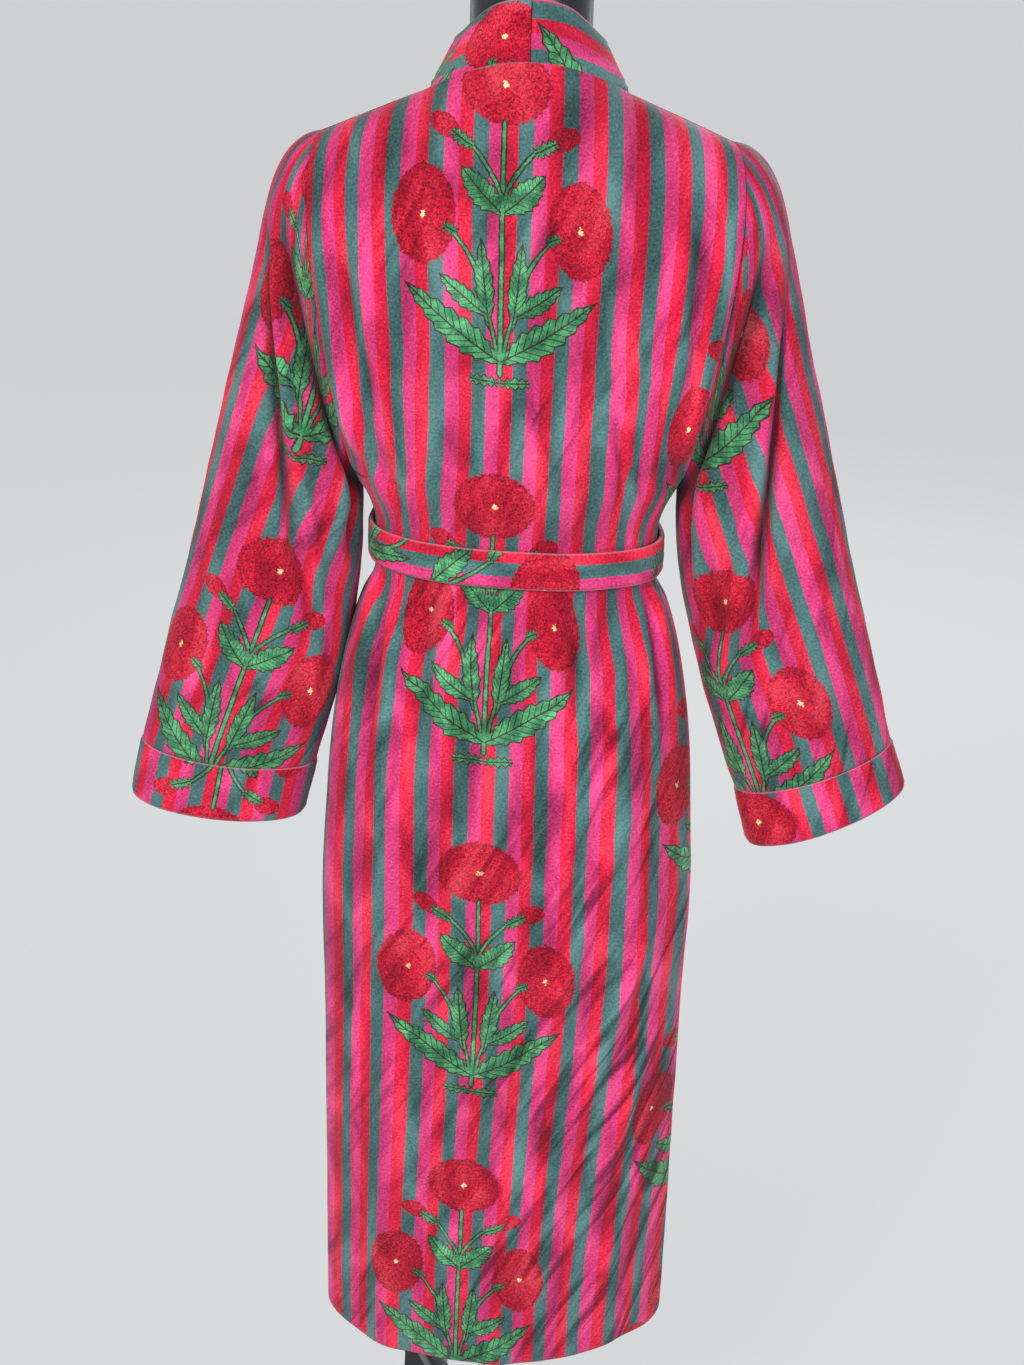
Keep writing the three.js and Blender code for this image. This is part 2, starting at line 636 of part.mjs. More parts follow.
addMesh(dressForm, "base_hub", turned(hubOutline, 24), blackEnamel);

// A leg seen from its side: it leaves the hub high and sweeps down to a flat pad over the castor.
const LEG_ROOT = { under: HUB_BOTTOM_Z + 5, over: HUB_TOP_Z - 10 };
const LEG_BEND = {
  under: { x: LEG_REACH - 70, z: HUB_BOTTOM_Z + 4 },
  over: { x: LEG_REACH - 60, z: HUB_TOP_Z - 8 },
};
const LEG_PAD = { start: LEG_REACH - 22, end: LEG_REACH + 14, thickness: 13 };
function legGeometry() {
  const start = HUB_R + SEAM;
  const under = CASTOR_TOP_Z + SEAM;
  const outline = new THREE.Shape();
  outline.moveTo(start, LEG_ROOT.under);
  outline.quadraticCurveTo(LEG_BEND.under.x, LEG_BEND.under.z, LEG_PAD.start, under);
  outline.lineTo(LEG_PAD.end, under);
  outline.lineTo(LEG_PAD.end, under + LEG_PAD.thickness);
  outline.quadraticCurveTo(LEG_BEND.over.x, LEG_BEND.over.z, start, LEG_ROOT.over);
  const settings = { depth: LEG_WIDTH, bevelEnabled: false, curveSegments: 5 };
  const leg = new THREE.ExtrudeGeometry(outline, settings);
  return leg.translate(0, 0, -LEG_WIDTH / 2).rotateX(Math.PI / 2);
}

// A castor's fork: two cheeks and a bridge over the wheel, extruded along the rolling direction.
const FORK = { cheekZ: 16, bridgeZ: 52, behindAxle: 12, length: 36 };
function forkGeometry() {
  const inside = FORK_GAP / 2;
  const outside = inside + FORK_WALL;
  const outline = new THREE.Shape([
    new THREE.Vector2(-outside, FORK.cheekZ),
    new THREE.Vector2(-inside, FORK.cheekZ),
    new THREE.Vector2(-inside, FORK.bridgeZ),
    new THREE.Vector2(inside, FORK.bridgeZ),
    new THREE.Vector2(inside, FORK.cheekZ),
    new THREE.Vector2(outside, FORK.cheekZ),
    new THREE.Vector2(outside, CASTOR_TOP_Z),
    new THREE.Vector2(-outside, CASTOR_TOP_Z),
  ]);
  const settings = { depth: FORK.length, bevelEnabled: false };
  const fork = new THREE.ExtrudeGeometry(outline, settings);
  // The outline's x becomes -Y, its y becomes Z, and the extrusion runs along -X to +X.
  const turn = new THREE.Matrix4().makeBasis(vec(0, 1, 0), vec(0, 0, 1), vec(1, 0, 0));
  return fork.applyMatrix4(turn).translate(-TRAIL - FORK.behindAxle, 0, 0);
}

// A wheel with a flat of its rim straight down, so that it stands on the floor.
function wheelGeometry() {
  const steps = 24;
  const corner = WHEEL_R / Math.cos(Math.PI / steps);
  const half = Math.PI / steps;
  const wheel = new THREE.CylinderGeometry(corner, corner, WHEEL_WIDTH, steps, 1, false, half);
  return wheel.translate(-TRAIL, 0, 0);
}

for (let k = 0; k < 4; k++) {
  const turn = (FIRST_LEG + 90 * k) * DEGREE;
  const leg = addMesh(dressForm, "leg_" + (k + 1), legGeometry(), blackEnamel);
  leg.rotation.z = turn;
  const castor = new THREE.Group();
  castor.position.set(LEG_REACH * Math.cos(turn), LEG_REACH * Math.sin(turn), 0);
  castor.rotation.z = 90 * k * DEGREE;
  dressForm.add(castor);
  addMesh(castor, "castor_" + (k + 1), forkGeometry(), blackEnamel);
  const wheel = addMesh(castor, "wheel_" + (k + 1), wheelGeometry(), wheelPlastic);
  wheel.position.z = WHEEL_R;
}

// The origin is the middle of the plan, halfway between the outer edges of the two cuffs. The form's
// own axis is a little to the wearer's left of it.
const [leftCuffX, rightCuffX] = [SLEEVES.left, SLEEVES.right].map((sleeve) => sleeve.edge[0][0]);
part.position.x = (rightCuffX - leftCuffX) / 2;

export default part;
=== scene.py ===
# A velvet kimono robe on a dress form: cloth shells, printed velvet, form and stand, round the frame.
# Shapes are worked out in millimetres about the form's own axis, heights from the floor, and become
# metres where a piece is made.
import math

import bmesh
import bpy
import numpy as np
from mathutils import Matrix, Vector


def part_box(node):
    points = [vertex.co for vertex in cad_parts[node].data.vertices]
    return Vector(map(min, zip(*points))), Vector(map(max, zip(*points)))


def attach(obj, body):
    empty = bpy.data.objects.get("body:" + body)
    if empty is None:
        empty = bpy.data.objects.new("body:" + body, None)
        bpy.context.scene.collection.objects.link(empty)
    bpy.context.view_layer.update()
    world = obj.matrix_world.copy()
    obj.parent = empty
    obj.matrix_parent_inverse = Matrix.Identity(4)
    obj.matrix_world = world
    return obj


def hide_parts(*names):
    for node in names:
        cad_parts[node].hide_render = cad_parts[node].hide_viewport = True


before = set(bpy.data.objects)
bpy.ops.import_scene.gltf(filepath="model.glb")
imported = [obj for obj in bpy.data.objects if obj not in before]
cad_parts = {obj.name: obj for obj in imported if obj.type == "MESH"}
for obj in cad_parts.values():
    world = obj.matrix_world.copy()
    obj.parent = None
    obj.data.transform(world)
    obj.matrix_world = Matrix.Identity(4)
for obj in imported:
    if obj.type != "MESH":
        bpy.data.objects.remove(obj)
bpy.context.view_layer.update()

MM = 0.001
POLE_LOW, POLE_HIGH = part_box("pole")
AXIS_X = (POLE_LOW[0] + POLE_HIGH[0]) / 2 / MM
BODY = "form_and_robe"

# The camera stands behind the form at head height and looks down at the belt.
CAMERA_DISTANCE = 1.67
CAMERA_HEIGHT = 1.63
CAMERA_PITCH = math.radians(21.7)
CAMERA_ROLL = math.radians(1.69)
FOCAL_PIXELS = 2000
PHOTO_HEIGHT = 1365
SENSOR = 36

# Sizes of the robe, as the solids have them.
CLOTH = 1.8
BAND = 3
SEAM = 0.3
HEM_Z = 284
UNDERARM_Z = 1168
SHOULDER_TIP_Z = 1442
NECK_SIDE_Z = 1478
NECK_BACK_RISE = 26
NECK_FRONT_DROP = 8
UNDERARM_X = 141
SHOULDER_TIP_X = 165
ARMHOLE_DEPTH = 74
ARMHOLE_BOW = 10
NECK_SIDE_X = 78
NECK_DEPTH = 63
NECK_U = NECK_SIDE_X / SHOULDER_TIP_X

# Height, half width, and depth behind and before the axis.
SECTIONS = np.array([
    (284, 168, 92, 112),
    (640, 168, 95, 112),
    (760, 170, 97, 113),
    (860, 165, 96, 111),
    (935, 159, 92, 108),
    (1005, 147, 86, 103),
    (1045, 135, 81, 99),
    (1074, 121, 77, 97),
    (1120, 121, 77, 97),
    (1140, 126, 83, 103),
    (UNDERARM_Z, UNDERARM_X, 90, 111),
    (1230, 150, 95, 119),
    (1300, 155, 96, 122),
    (1400, 160, 92, 108),
    (1510, 165, 84, 92),
], float)
SIDE, BACK, FRONT = 1, 2, 3

# How square the section is (2 is an ellipse), the hem's rise at the sides and its hitch, the belt, the
# bands, the lap of the fronts, and how much smaller the form is than the robe.
SQUARE_BODY = 2.4
SQUARE_HEM = 2.0
HEM_LIFT = 11
HEM_HITCH = {"u": -0.68, "width": 0.17, "height": 8}
BELT_TOP_Z = 1114
BELT_HEIGHT = 30
BELT_TILT = 0.03
BAND_WIDTH = 50
NECK_BAND_WIDTH = 46
LAP = 9
LAP_START_X = 105
LAP_FULL_X = 65
LAP_END_X = (-128, -96)
FORM_EASE = 8
FORM_RIDGE_EASE = 2.1
OUTER_SEAM_X = -40
INNER_SEAM_X = -20

# Broad folds of the body by the direction they face (0 is +X, 90 is the back):
# direction, lean, top, bottom, depth, width.
BROAD_FOLDS = [
    (40, -5, 1066, 284, 6, 9),
    (61, 3, 1060, 560, 4, 7),
    (84, 8, 1000, 284, 3, 10),
    (118, 2, 1060, 500, 4, 8),
    (140, 6, 1066, 284, 6, 8),
    (203, 4, 1050, 284, 5, 9),
    (231, 6, 1060, 440, 4, 9),
    (316, -6, 1060, 284, 5, 9),
    (338, -3, 1050, 520, 4, 8),
    (48, 6, 1290, 1128, 5, 7),
    (132, -5, 1300, 1128, 6, 8),
]

# Half the cloth's width on the skirt and across the shoulders, and where the plants stand on it.
WHOLE_SKIRT = 178
WHOLE_TOP = 186
PLANT_SHIFT = 20
PLANT_TOP = 229
BACK_PLANT_Z = 494 - PLANT_TOP
FRONT_PLANT_Z = BACK_PLANT_Z - 166
FRONT_PLANT_X = {"left": 107, "right": -73}

# How far the plants stand aside low on the skirt and from the waist up, where the cloth is pulled.
SKIRT_DRIFT = 15
WAIST_DRIFT = 5
DEEPEST_CREASE = -5
ARMHOLE_ROLL = 5
SEAM_DIP = 0.9

# Side, x of the seam to the band, and how far the front lies over the other one.
FRONTS = {"left": (1, OUTER_SEAM_X, LAP), "right": (-1, INNER_SEAM_X, 0)}

# How far the band leans in at the sides and at the centre back, and how much its outer edge may widen.
BAND_LEAN = 0.53
BAND_LEAN_BACK = 0.12
BAND_WIDEST = 1.2

# How far a band's surface is from the trim where it has none.
NO_TRIM = 20

# Where the print lies on each half of the collar: the plants run along it.
COLLAR_PRINT = {
    "left": {"start": 148, "low": -39, "turn": -1},
    "right": {"start": 70, "low": 49.2, "turn": 1},
}

# Sleeves: the seam and the edge of each cuff, outer and inner, as x and z in the side's own sense.
SLEEVES = {
    "left": {"side": 1, "seam": ((333, 903), (178, 886)), "edge": ((344, 851), (190, 836)),
             "outer_print": -84, "plant": (180, 1187)},
    "right": {"side": -1, "seam": ((343, 922), (208, 871)), "edge": ((359, 879), (223, 818)),
              "outer_print": 150, "plant": (158, 1168)},
}
SLEEVE_DEPTH = 44
SLEEVE_CAP = 28
SLEEVE_CAP_RISE = 0.028
SLEEVE_TUCK = 17
HEAD_EASE = 2.2

# What turns a crease's degrees and shares into mm on the sleeve, and the valley behind the armhole.
CREASE_TURN_SCALE = 1.1
CREASE_LENGTH_SCALE = 420
ARMHOLE_VALLEY = 11

# The long fold down the back of each sleeve, by direction and share of the length, and how much
# cloth it hides.
SLEEVE_FOLDS = {
    "left": {"directions": (22, 70, 110), "shares": (0.08, 0.26, 0.56), "hides": 20},
    "right": {"directions": (32, 78, 104), "shares": (0.1, 0.37, 0.6), "hides": 34},
}

# Where the print lies on each cuff.
CUFF_WIDTH = 52
CUFF_PRINT = {
    "left": {"seam": 158, "outer": 98, "way": -1},
    "right": {"seam": 255, "outer": 158, "way": 1},
}

# Sizes of the belt and its knot.
BELT_THICKNESS = 3.5
BELT_CLEARANCE = 1.2
KNOT = {"x": -12, "z": BELT_TOP_Z - BELT_HEIGHT / 2, "width": 48, "height": 38, "depth": 22}
BELT_GAP = math.radians(4)
BELT_FLOWER_X = -27
BELT_PRINT_TOP = -29.5

# The belt's ends: x where they leave the knot and where they end, length, and where the print starts.
BELT_ENDS = {"left": (0, 22, 400, 120), "right": (-26, -50, 360, 300)}
BELT_END_HALF = 18.5
KNOT_MOUTH_HALF = 11

# Sizes of the form and the stand.
FORM_BOTTOM_Z = 745
FORM_TOP_Z = 1590
FORM_NECK_R = 49

# Rings from the shoulders' slope to the round neck: how round, and height, and their least rise.
NECK_RISE = [(0.6, 1488), (0.86, 1500), (1, 1522), (1, FORM_TOP_Z)]
NECK_STEP = 7

# Edges steeper than this stay sharp.
CORNER = math.radians(35)
FORM_CORNER = math.radians(40)

POLE_R = 14
FLANGE_R = 45
HUB_R = 38
HUB_BOTTOM_Z = 66
HUB_TOP_Z = 100
CASTOR_TOP_Z = 57.7
WHEEL_R = 25
WHEEL_WIDTH = 19.4
TYRE_INNER_R = 16.5
TYRE_FLAT_R = 22.5
RING_INNER_R = 8.5
RING_OUTER_R = 16.4

# A leg: width at the hub, reach to the castor, first direction, how much it narrows, how square it is.
LEG_WIDTH = 22
LEG_REACH = 225
LEG_END = LEG_REACH + 14
LEG_PAD = LEG_REACH - 22
LEG_TURN = -66.7
LEG_TAPER = 0.25
LEG_SQUARE = 0.38
LEG_END_HEIGHT = 13
LEG_ROWS = 28
LEG_ROUND = 20

# The print: stripes, and a poppy plant in each cell of a half-drop repeat.
STRIPE_REPEAT = 34.3
TEAL_CENTRE = 19.2
TEAL_PHASE = 0.32
CELL_WIDTH = 7 * STRIPE_REPEAT
CELL_HEIGHT = 332
CELL_FLOOR = -22
PLANT_LEAN = 0.08

TEAL = "#4A7374"
PINK = "#DE3B7D"
RED = "#E21E44"
CRIMSON = "#E01A3C"
CRIMSON_DARK = "#8A0A24"
STAMEN = "#F2E3A0"
GREEN = "#5CB478"
GREEN_DARK = "#36835A"
OUTLINE = "#3E1F24"
# Painted sheen: the pale colour laid over the lightest nap.
PAINTED_SHEEN_COLOUR = "#C9D6D4"
# Painted highlight: the pale rim where a band's pile catches the light at its edge.
EDGE_HIGHLIGHT = "#E7A9BE"
THREAD = "#D9AFC0"
SHEEN = "#FFD9E4"

# Sizes in mm of the marks in the nap: length and width of streaks and of brushed patches, and the
# stitches. Streaks run down to the left.
STREAK_TURN = math.radians(-62)
BROAD_STREAK = (110, 11)
FINE_STREAK = (60, 3.2)
BRUSHED_PATCH = (34, 80)
WORN_PATCH = 120
STITCH_INSET = 6
STITCH_LENGTH = 3.4

# Lights: each has its place and diameter in metres, its watts and its tint.
LIGHTS = [
    ("key", (1.7, 3.3, 3.2), 0.9, 118, "#FFFAF4"),
    ("fill", (-2.0, 3.0, 2.2), 1.8, 38, "#F4F8FF"),
    ("front", (-1.2, -3.2, 2.8), 2.0, 95, "#FFFFFF"),
]
LIGHTS_AIM = (0, 0, 1.0)
WORLD_STRENGTH = 0.38
FLOOR_RADIUS = 45
FLOOR_GLOW = 0.74


def make_camera():
    """The camera, with its slight roll."""
    camera = bpy.data.objects.new("camera", bpy.data.cameras.new("camera"))
    bpy.context.scene.collection.objects.link(camera)
    right = Vector((-1, 0, 0))
    up = Vector((0, -math.sin(CAMERA_PITCH), math.cos(CAMERA_PITCH)))
    forward = Vector((0, -math.cos(CAMERA_PITCH), -math.sin(CAMERA_PITCH)))
    rolled_right = right * math.cos(CAMERA_ROLL) + up * math.sin(CAMERA_ROLL)
    rolled_up = up * math.cos(CAMERA_ROLL) - right * math.sin(CAMERA_ROLL)
    turn = Matrix((rolled_right, rolled_up, -forward)).transposed().to_4x4()
    place = Matrix.Translation((AXIS_X * MM, CAMERA_DISTANCE, CAMERA_HEIGHT))
    camera.matrix_world = place @ turn
    camera.data.sensor_width = SENSOR
    camera.data.lens = FOCAL_PIXELS / PHOTO_HEIGHT * SENSOR
    camera.data.clip_end = 200
    bpy.context.scene.camera = camera


make_camera()


def srgb(code):
    """A hex colour as linear red, green, blue and alpha."""
    values = [int(code[i : i + 2], 16) / 255 for i in (1, 3, 5)]
    return [v / 12.92 if v <= 0.04045 else ((v + 0.055) / 1.055) ** 2.4 for v in values] + [1.0]


# Materials.
def add(tree, kind, links=None, out=0, **settings):
    """Adds one node with its settings and links, and gives back one of its outputs."""
    made = tree.nodes.new("ShaderNode" + kind)
    for title, value in settings.items():
        setattr(made, title, value)
    fill(made, links or {})
    return made.outputs[out]


def fill(node, sockets):
    """Links or sets a node's sockets."""
    for socket, value in sockets.items():
        if isinstance(value, bpy.types.NodeSocket):
            node.id_data.links.new(value, node.inputs[socket])
        else:
            node.inputs[socket].default_value = value


def new_material(name):
    """A new material, its node tree and its shader."""
    material = bpy.data.materials.new(name)
    material.use_nodes = True
    return material, material.node_tree, material.node_tree.nodes["Principled BSDF"]


def set_stops(output, stops):
    """Gives a colour ramp its stops, as pairs of place and hex colour."""
    elements = output.node.color_ramp.elements
    while len(elements) < len(stops):
        elements.new(0.5)
    for element, (place, code) in zip(elements, stops):
        element.position = place
        element.color = srgb(code)


def set_outline(output, points):
    """Gives a float curve its points."""
    curve = output.node.mapping.curves[0]
    while len(curve.points) < len(points):
        curve.points.new(0.5, 0.5)
    for point, (place, value) in zip(curve.points, points):
        point.location = (place, value)
        point.handle_type = "VECTOR"
    output.node.mapping.update()


# Lights and floor.
def soft_light(name, place, size, watts, tint):
    """A round soft light, turned to the robe."""
    light = bpy.data.objects.new(name, bpy.data.lights.new(name, "AREA"))
    bpy.context.scene.collection.objects.link(light)
    light.data.shape = "DISK"
    light.data.size = size
    light.data.energy = watts
    light.data.color = srgb(tint)[:3]
    light.location = place
    light.rotation_euler = (Vector(LIGHTS_AIM) - Vector(place)).to_track_quat("-Z", "Y").to_euler()


def studio():
    """A pale even room: dim world light, three soft lights and a plain floor."""
    bpy.context.scene.view_settings.view_transform = "Standard"
    world = bpy.data.worlds.new("studio")
    bpy.context.scene.world = world
    world.use_nodes = True
    background = world.node_tree.nodes["Background"]
    background.inputs["Color"].default_value = srgb("#E4E8EA")
    background.inputs["Strength"].default_value = WORLD_STRENGTH
    for light in LIGHTS:
        soft_light(*light)
    bpy.ops.mesh.primitive_circle_add(vertices=96, radius=FLOOR_RADIUS, fill_type="NGON")
    floor = bpy.context.object
    floor.name = "floor"
    plaster, _, shader = new_material("matt_pale_floor")
    fill(shader, {"Base Color": srgb("#5E6263"), "Emission Color": srgb("#E4E6E6"),
                  "Emission Strength": FLOOR_GLOW, "Roughness": 0.85, "Specular IOR Level": 0.2})
    floor.data.materials.append(plaster)


studio()


# Plain arithmetic on arrays.
def mix(a, b, t):
    return a + (b - a) * t


def ramp(x, low, high):
    """A soft rise from 0 at low to 1 at high."""
    t = np.clip((x - low) / (high - low), 0, 1)
    return t * t * (3 - 2 * t)


def bell(x, at, width, power=2):
    """1 at a place, falling off to nothing on both sides."""
    return np.exp(-(((x - at) / width) ** power))


def pair(a, b):
    """Two sets of values as the coordinates of a print, trim or fold map."""
    return np.stack(np.broadcast_arrays(a, b), -1)


def closed(grid):
    """A ring's grid with its first column once more at its end."""
    return np.concatenate([grid, grid[:, :1]], 1)


def length_along(points):
    """How far along a line of points each of them lies."""
    steps = np.linalg.norm(np.diff(points, axis=0), axis=-1)
    return np.concatenate([[0], np.cumsum(steps)])


# The form of the body.
def section(z, key):
    """A size of the body's section at any height, on a smooth curve through the table."""
    heights = SECTIONS[:, 0]
    values = SECTIONS[:, key]
    slopes = np.zeros(len(values))
    before = values[1:-1] - values[:-2]
    after = values[2:] - values[1:-1]
    rise = (values[2:] - values[:-2]) / (heights[2:] - heights[:-2])
    slopes[1:-1] = np.where(before * after <= 0, 0, rise)
    i = np.clip(np.searchsorted(heights, z), 1, len(heights) - 1)
    span = heights[i] - heights[i - 1]
    t = np.clip((z - heights[i - 1]) / span, 0, 1)
    lift = t * (1 - t) * (slopes[i - 1] * (1 - t) - slopes[i] * t) * span
    return mix(values[i - 1], values[i], t * t * (3 - 2 * t)) + lift


def armhole(share):
    """Half width and depth of the armhole's edge, by share of its height."""
    cos = 2 * share - 1
    sin = np.sqrt(np.maximum(0, 1 - cos * cos))
    return mix(UNDERARM_X, SHOULDER_TIP_X, share) + ARMHOLE_BOW * sin * (1 + cos), ARMHOLE_DEPTH * sin


def shoulder_z(face, across):
    """Height of the shoulder's slope and of the neckline."""
    slope = mix(NECK_SIDE_Z, SHOULDER_TIP_Z, (across - NECK_U) / (1 - NECK_U))
    dip = 1 - (across / NECK_U) ** 2
    neck = NECK_SIDE_Z + (NECK_BACK_RISE if face > 0 else -NECK_FRONT_DROP) * dip
    return np.where(across >= NECK_U, slope, neck)


def broad_fold_height(angle, z):
    """How far the broad folds stand out. They begin under the belt or the shoulder and fan out."""
    height = np.zeros_like(angle)
    for at, lean, top, bottom, depth, width in BROAD_FOLDS:
        along = (top - z) / (top - bottom)
        tail = 1 - ramp(along, 0.6, 1) if bottom > HEM_Z else 1
        off = (angle - at - lean * along) / width
        on = (along >= 0) & (along <= 1)
        height += np.where(on, depth * ramp(along, 0, 0.25) * tail * np.exp(-off * off), 0)
    return height


def hem_lift(face, u):
    """The hem's rise towards the sides, with a small hitch at the back."""
    hitch = HEM_HITCH["height"] * bell(u, HEM_HITCH["u"], HEM_HITCH["width"]) if face > 0 else 0
    return HEM_LIFT * u * u + hitch


def body_points(face, u, level, ease=0.0):
    """Points of the body: face 1 is the back, u runs -1 to 1, level 0 hem, 1 underarm, 2 shoulder."""
    u, level = np.broadcast_arrays(np.asarray(u, float), np.asarray(level, float))
    across = np.abs(u)
    share = np.maximum(0, level - 1)
    crown = shoulder_z(face, across) - (FORM_RIDGE_EASE if ease > 0 else 0)
    hem = HEM_Z + (0 if ease > 0 else hem_lift(face, u))
    z = np.where(level < 1, mix(hem, UNDERARM_Z, level), mix(UNDERARM_Z, crown, share))
    arm_x, arm_y = armhole(share)
    square = mix(SQUARE_HEM, SQUARE_BODY, ramp(level, 0, 0.4))
    edge = np.where(level < 1, section(z, SIDE), arm_x) - ease
    rounded = np.maximum(0, 1 - across**square) ** (1 / square)
    fall = np.maximum(0, 1 - share**4) ** mix(1, 0.5, ramp(across, 0.25, 0.6))
    depth = (section(z, BACK if face > 0 else FRONT) - ease) * rounded * fall
    # Away from the armhole the back's fullness comes in gently above the underarm.
    gentle = mix(ramp(share, 0, 0.13), 1, across**16)
    arm_depth = 0 if ease > 0 else (1 - rounded) * arm_y * gentle
    neck_round = np.sqrt(np.maximum(0, 1 - (across / NECK_U) ** 2))
    neck = (NECK_DEPTH - ease) * neck_round * (1 - fall)
    x = u * edge
    y = face * (depth + arm_depth + neck)
    if ease > 0:
        return np.stack([x, y, z], -1)
    angle = np.degrees(np.arctan2(y, x)) % 360
    grow = 1 + broad_fold_height(angle, z) / np.maximum(1, np.hypot(x, y))
    return np.stack([x * grow, y * grow + face * SEAM / 2, z], -1)


def height_of(level):
    """Height of a level on a front's inner edge."""
    low = mix(HEM_Z, UNDERARM_Z, level)
    return np.where(level < 1, low, mix(UNDERARM_Z, NECK_SIDE_Z, level - 1))


def level_of(z):
    """Level of a height below the underarm."""
    return (z - HEM_Z) / (UNDERARM_Z - HEM_Z)


def crease_height(creases, x, z):
    """The summed height of creases at a place. Each follows a curve and fades at its two ends."""
    total = np.zeros_like(x)
    for start, middle, end, width, height, hard in creases:
        a, b, c = (np.array(p, float) for p in (start, middle, end))
        control = 2 * b - (a + c) / 2
        ts = np.linspace(0, 1, 15)
        path = np.outer((1 - ts) ** 2, a) + np.outer(2 * ts * (1 - ts), control) + np.outer(ts**2, c)
        best = np.full_like(x, 1e9)
        along = np.zeros_like(x)
        turn = np.ones_like(x)
        for i, (p, q) in enumerate(zip(path[:-1], path[1:])):
            d = q - p
            t = np.clip(((x - p[0]) * d[0] + (z - p[1]) * d[1]) / (d @ d), 0, 1)
            dx = x - p[0] - t * d[0]
            dz = z - p[1] - t * d[1]
            distance = np.hypot(dx, dz)
            nearer = distance < best
            best = np.where(nearer, distance, best)
            along = np.where(nearer, (i + t) / (len(path) - 1), along)
            turn = np.where(nearer, np.sign(d[0] * dz - d[1] * dx), turn)
        taper = ramp(along, 0, 0.3) * (1 - ramp(along, 0.65, 1))
        reach = width * np.where(turn > 0, 1, hard)
        total += CREASE_GAIN * height * taper * bell(best, 0, reach)
    return total


def undulation(a, b, size, seed):
    """A soft uneven surface, within -1 to 1, with bumps of about size, from a few crossed waves."""
    total = 0
    for k in range(5):
        turn = seed * 1.7 + k * 1.26
        step = 2 * math.pi / (size * (0.8 + 0.23 * k))
        total = total + np.sin((a * math.cos(turn) + b * math.sin(turn)) * step + seed * 3.1 + k * k)
    return total / 5


# Meshes from grids of points.
def grid_normals(points, facing, ring=False):
    """The outward direction at each point of a grid."""
    if ring:
        along = np.roll(points, -1, 1) - np.roll(points, 1, 1)
    else:
        along = np.gradient(points, axis=1)
    normals = np.cross(np.gradient(points, axis=0), along) * facing
    return normals / np.maximum(1e-9, np.linalg.norm(normals, axis=-1, keepdims=True))


def raised(points, height, facing, ring=False):
    """The points moved off their surface by height."""
    return points + grid_normals(points, facing, ring) * height[..., None]


def new_piece(name, points, faces, material):
    """A smooth piece from points in metres."""
    mesh = bpy.data.meshes.new(name)
    mesh.from_pydata(points, [], faces)
    mesh.materials.append(material)
    mesh.shade_smooth()
    piece = bpy.data.objects.new(name, mesh)
    bpy.context.scene.collection.objects.link(piece)
    return piece


def cloth_shell(name, points, maps, thickness, facing, material, ring=False):
    """A piece from a grid of outer points in mm. maps are its print and trim coordinates, in mm too."""
    rows, columns = points.shape[:2]
    placed = (points + (AXIS_X, 0, 0)) * MM
    last = columns if ring else columns - 1
    i, j = np.meshgrid(np.arange(rows - 1), np.arange(last), indexing="ij")
    k = (j + 1) % columns
    corners = [i * columns + j, i * columns + k, (i + 1) * columns + k, (i + 1) * columns + j]
    places = [(i, j), (i, j + 1), (i + 1, j + 1), (i + 1, j)]
    if facing < 0:
        corners.reverse()
        places.reverse()
    faces = np.stack(corners, -1).reshape(-1, 4)
    piece = new_piece(name, placed.reshape(-1, 3).tolist(), faces.tolist(), material)
    for title, values in maps.items():
        layer = piece.data.uv_layers.new(name=title)
        values = np.broadcast_to(values, (rows, last + 1, 2))
        spread = np.stack([values[a, b] for a, b in places], -2) * MM
        layer.data.foreach_set("uv", spread.reshape(-1).astype(np.float32))
    wall = piece.modifiers.new("wall", "SOLIDIFY")
    wall.thickness = thickness * MM
    wall.offset = -1
    wall.use_quality_normals = True
    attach(piece, BODY)
    return piece


# The plant. Outlines along a leaf from root to tip: share of the length, and of the half width.
LOBED = [(0, 0.12), (0.05, 0.42), (0.13, 0.5), (0.17, 0.8), (0.21, 0.66), (0.3, 1), (0.34, 0.78),
         (0.44, 1), (0.48, 0.74), (0.57, 0.9), (0.61, 0.62), (0.7, 0.7), (0.74, 0.46), (0.83, 0.48),
         (0.87, 0.28), (1, 0)]
SAWN = [(0, 0.1), (0.08, 0.34), (0.16, 0.44), (0.28, 0.86), (0.32, 0.7), (0.43, 1), (0.47, 0.8), (0.58, 0.94),
        (0.62, 0.7), (0.73, 0.74), (0.77, 0.5), (0.87, 0.46), (0.91, 0.24), (1, 0)]
STEM = [(0, 0), (0.02, 1), (0.97, 0.85), (1, 0)]
SCALLOPED = [(0, 0), (0.06, 0.7), (0.16, 0.4), (0.26, 0.95), (0.36, 0.5), (0.5, 1), (0.62, 0.5), (0.74, 0.9),
             (0.84, 0.4), (0.94, 0.7), (1, 0)]

# Greenery of the plant's half: root and tip from the base of the stem, half width, bend and outline.
GREENERY = [
    ((0, 0), (26, 2), 6, 0, SCALLOPED),
    ((0, 3), (0, 204), 3, 0, STEM),
    ((2, 16), (10, 54), 2.6, 0.1, STEM),
    ((19, 84), (39, 114), 2.6, 0.22, STEM),
    ((0, 17), (78, 73), 14, -0.13, LOBED),
    ((11, 53), (50, 82), 9.2, -0.1, SAWN),
    ((9, 42), (16.5, 113), 8.8, -0.04, SAWN),
    ((34, 113), (46, 118), 6, 0, SCALLOPED),
    ((1, 146), (30, 185), 2.6, 0.2, STEM),
    ((23, 178), (41, 188), 7, 0, SCALLOPED),
    ((0, 131), (33, 164), 12, -0.1, SAWN),
    ((-6, 133), (3, 152), 7, 0, SAWN),
]

# Blooms: centre, half width and height, turn in degrees, and how much of the heart shows.
BLOOMS = [
    ((61, 124), (25, 37.5), 7, 0.0),
    ((0, 227), (35.5, 30), 0, 0.0),
    ((46, 191), (12.5, 8.5), 25, 0.3),
]


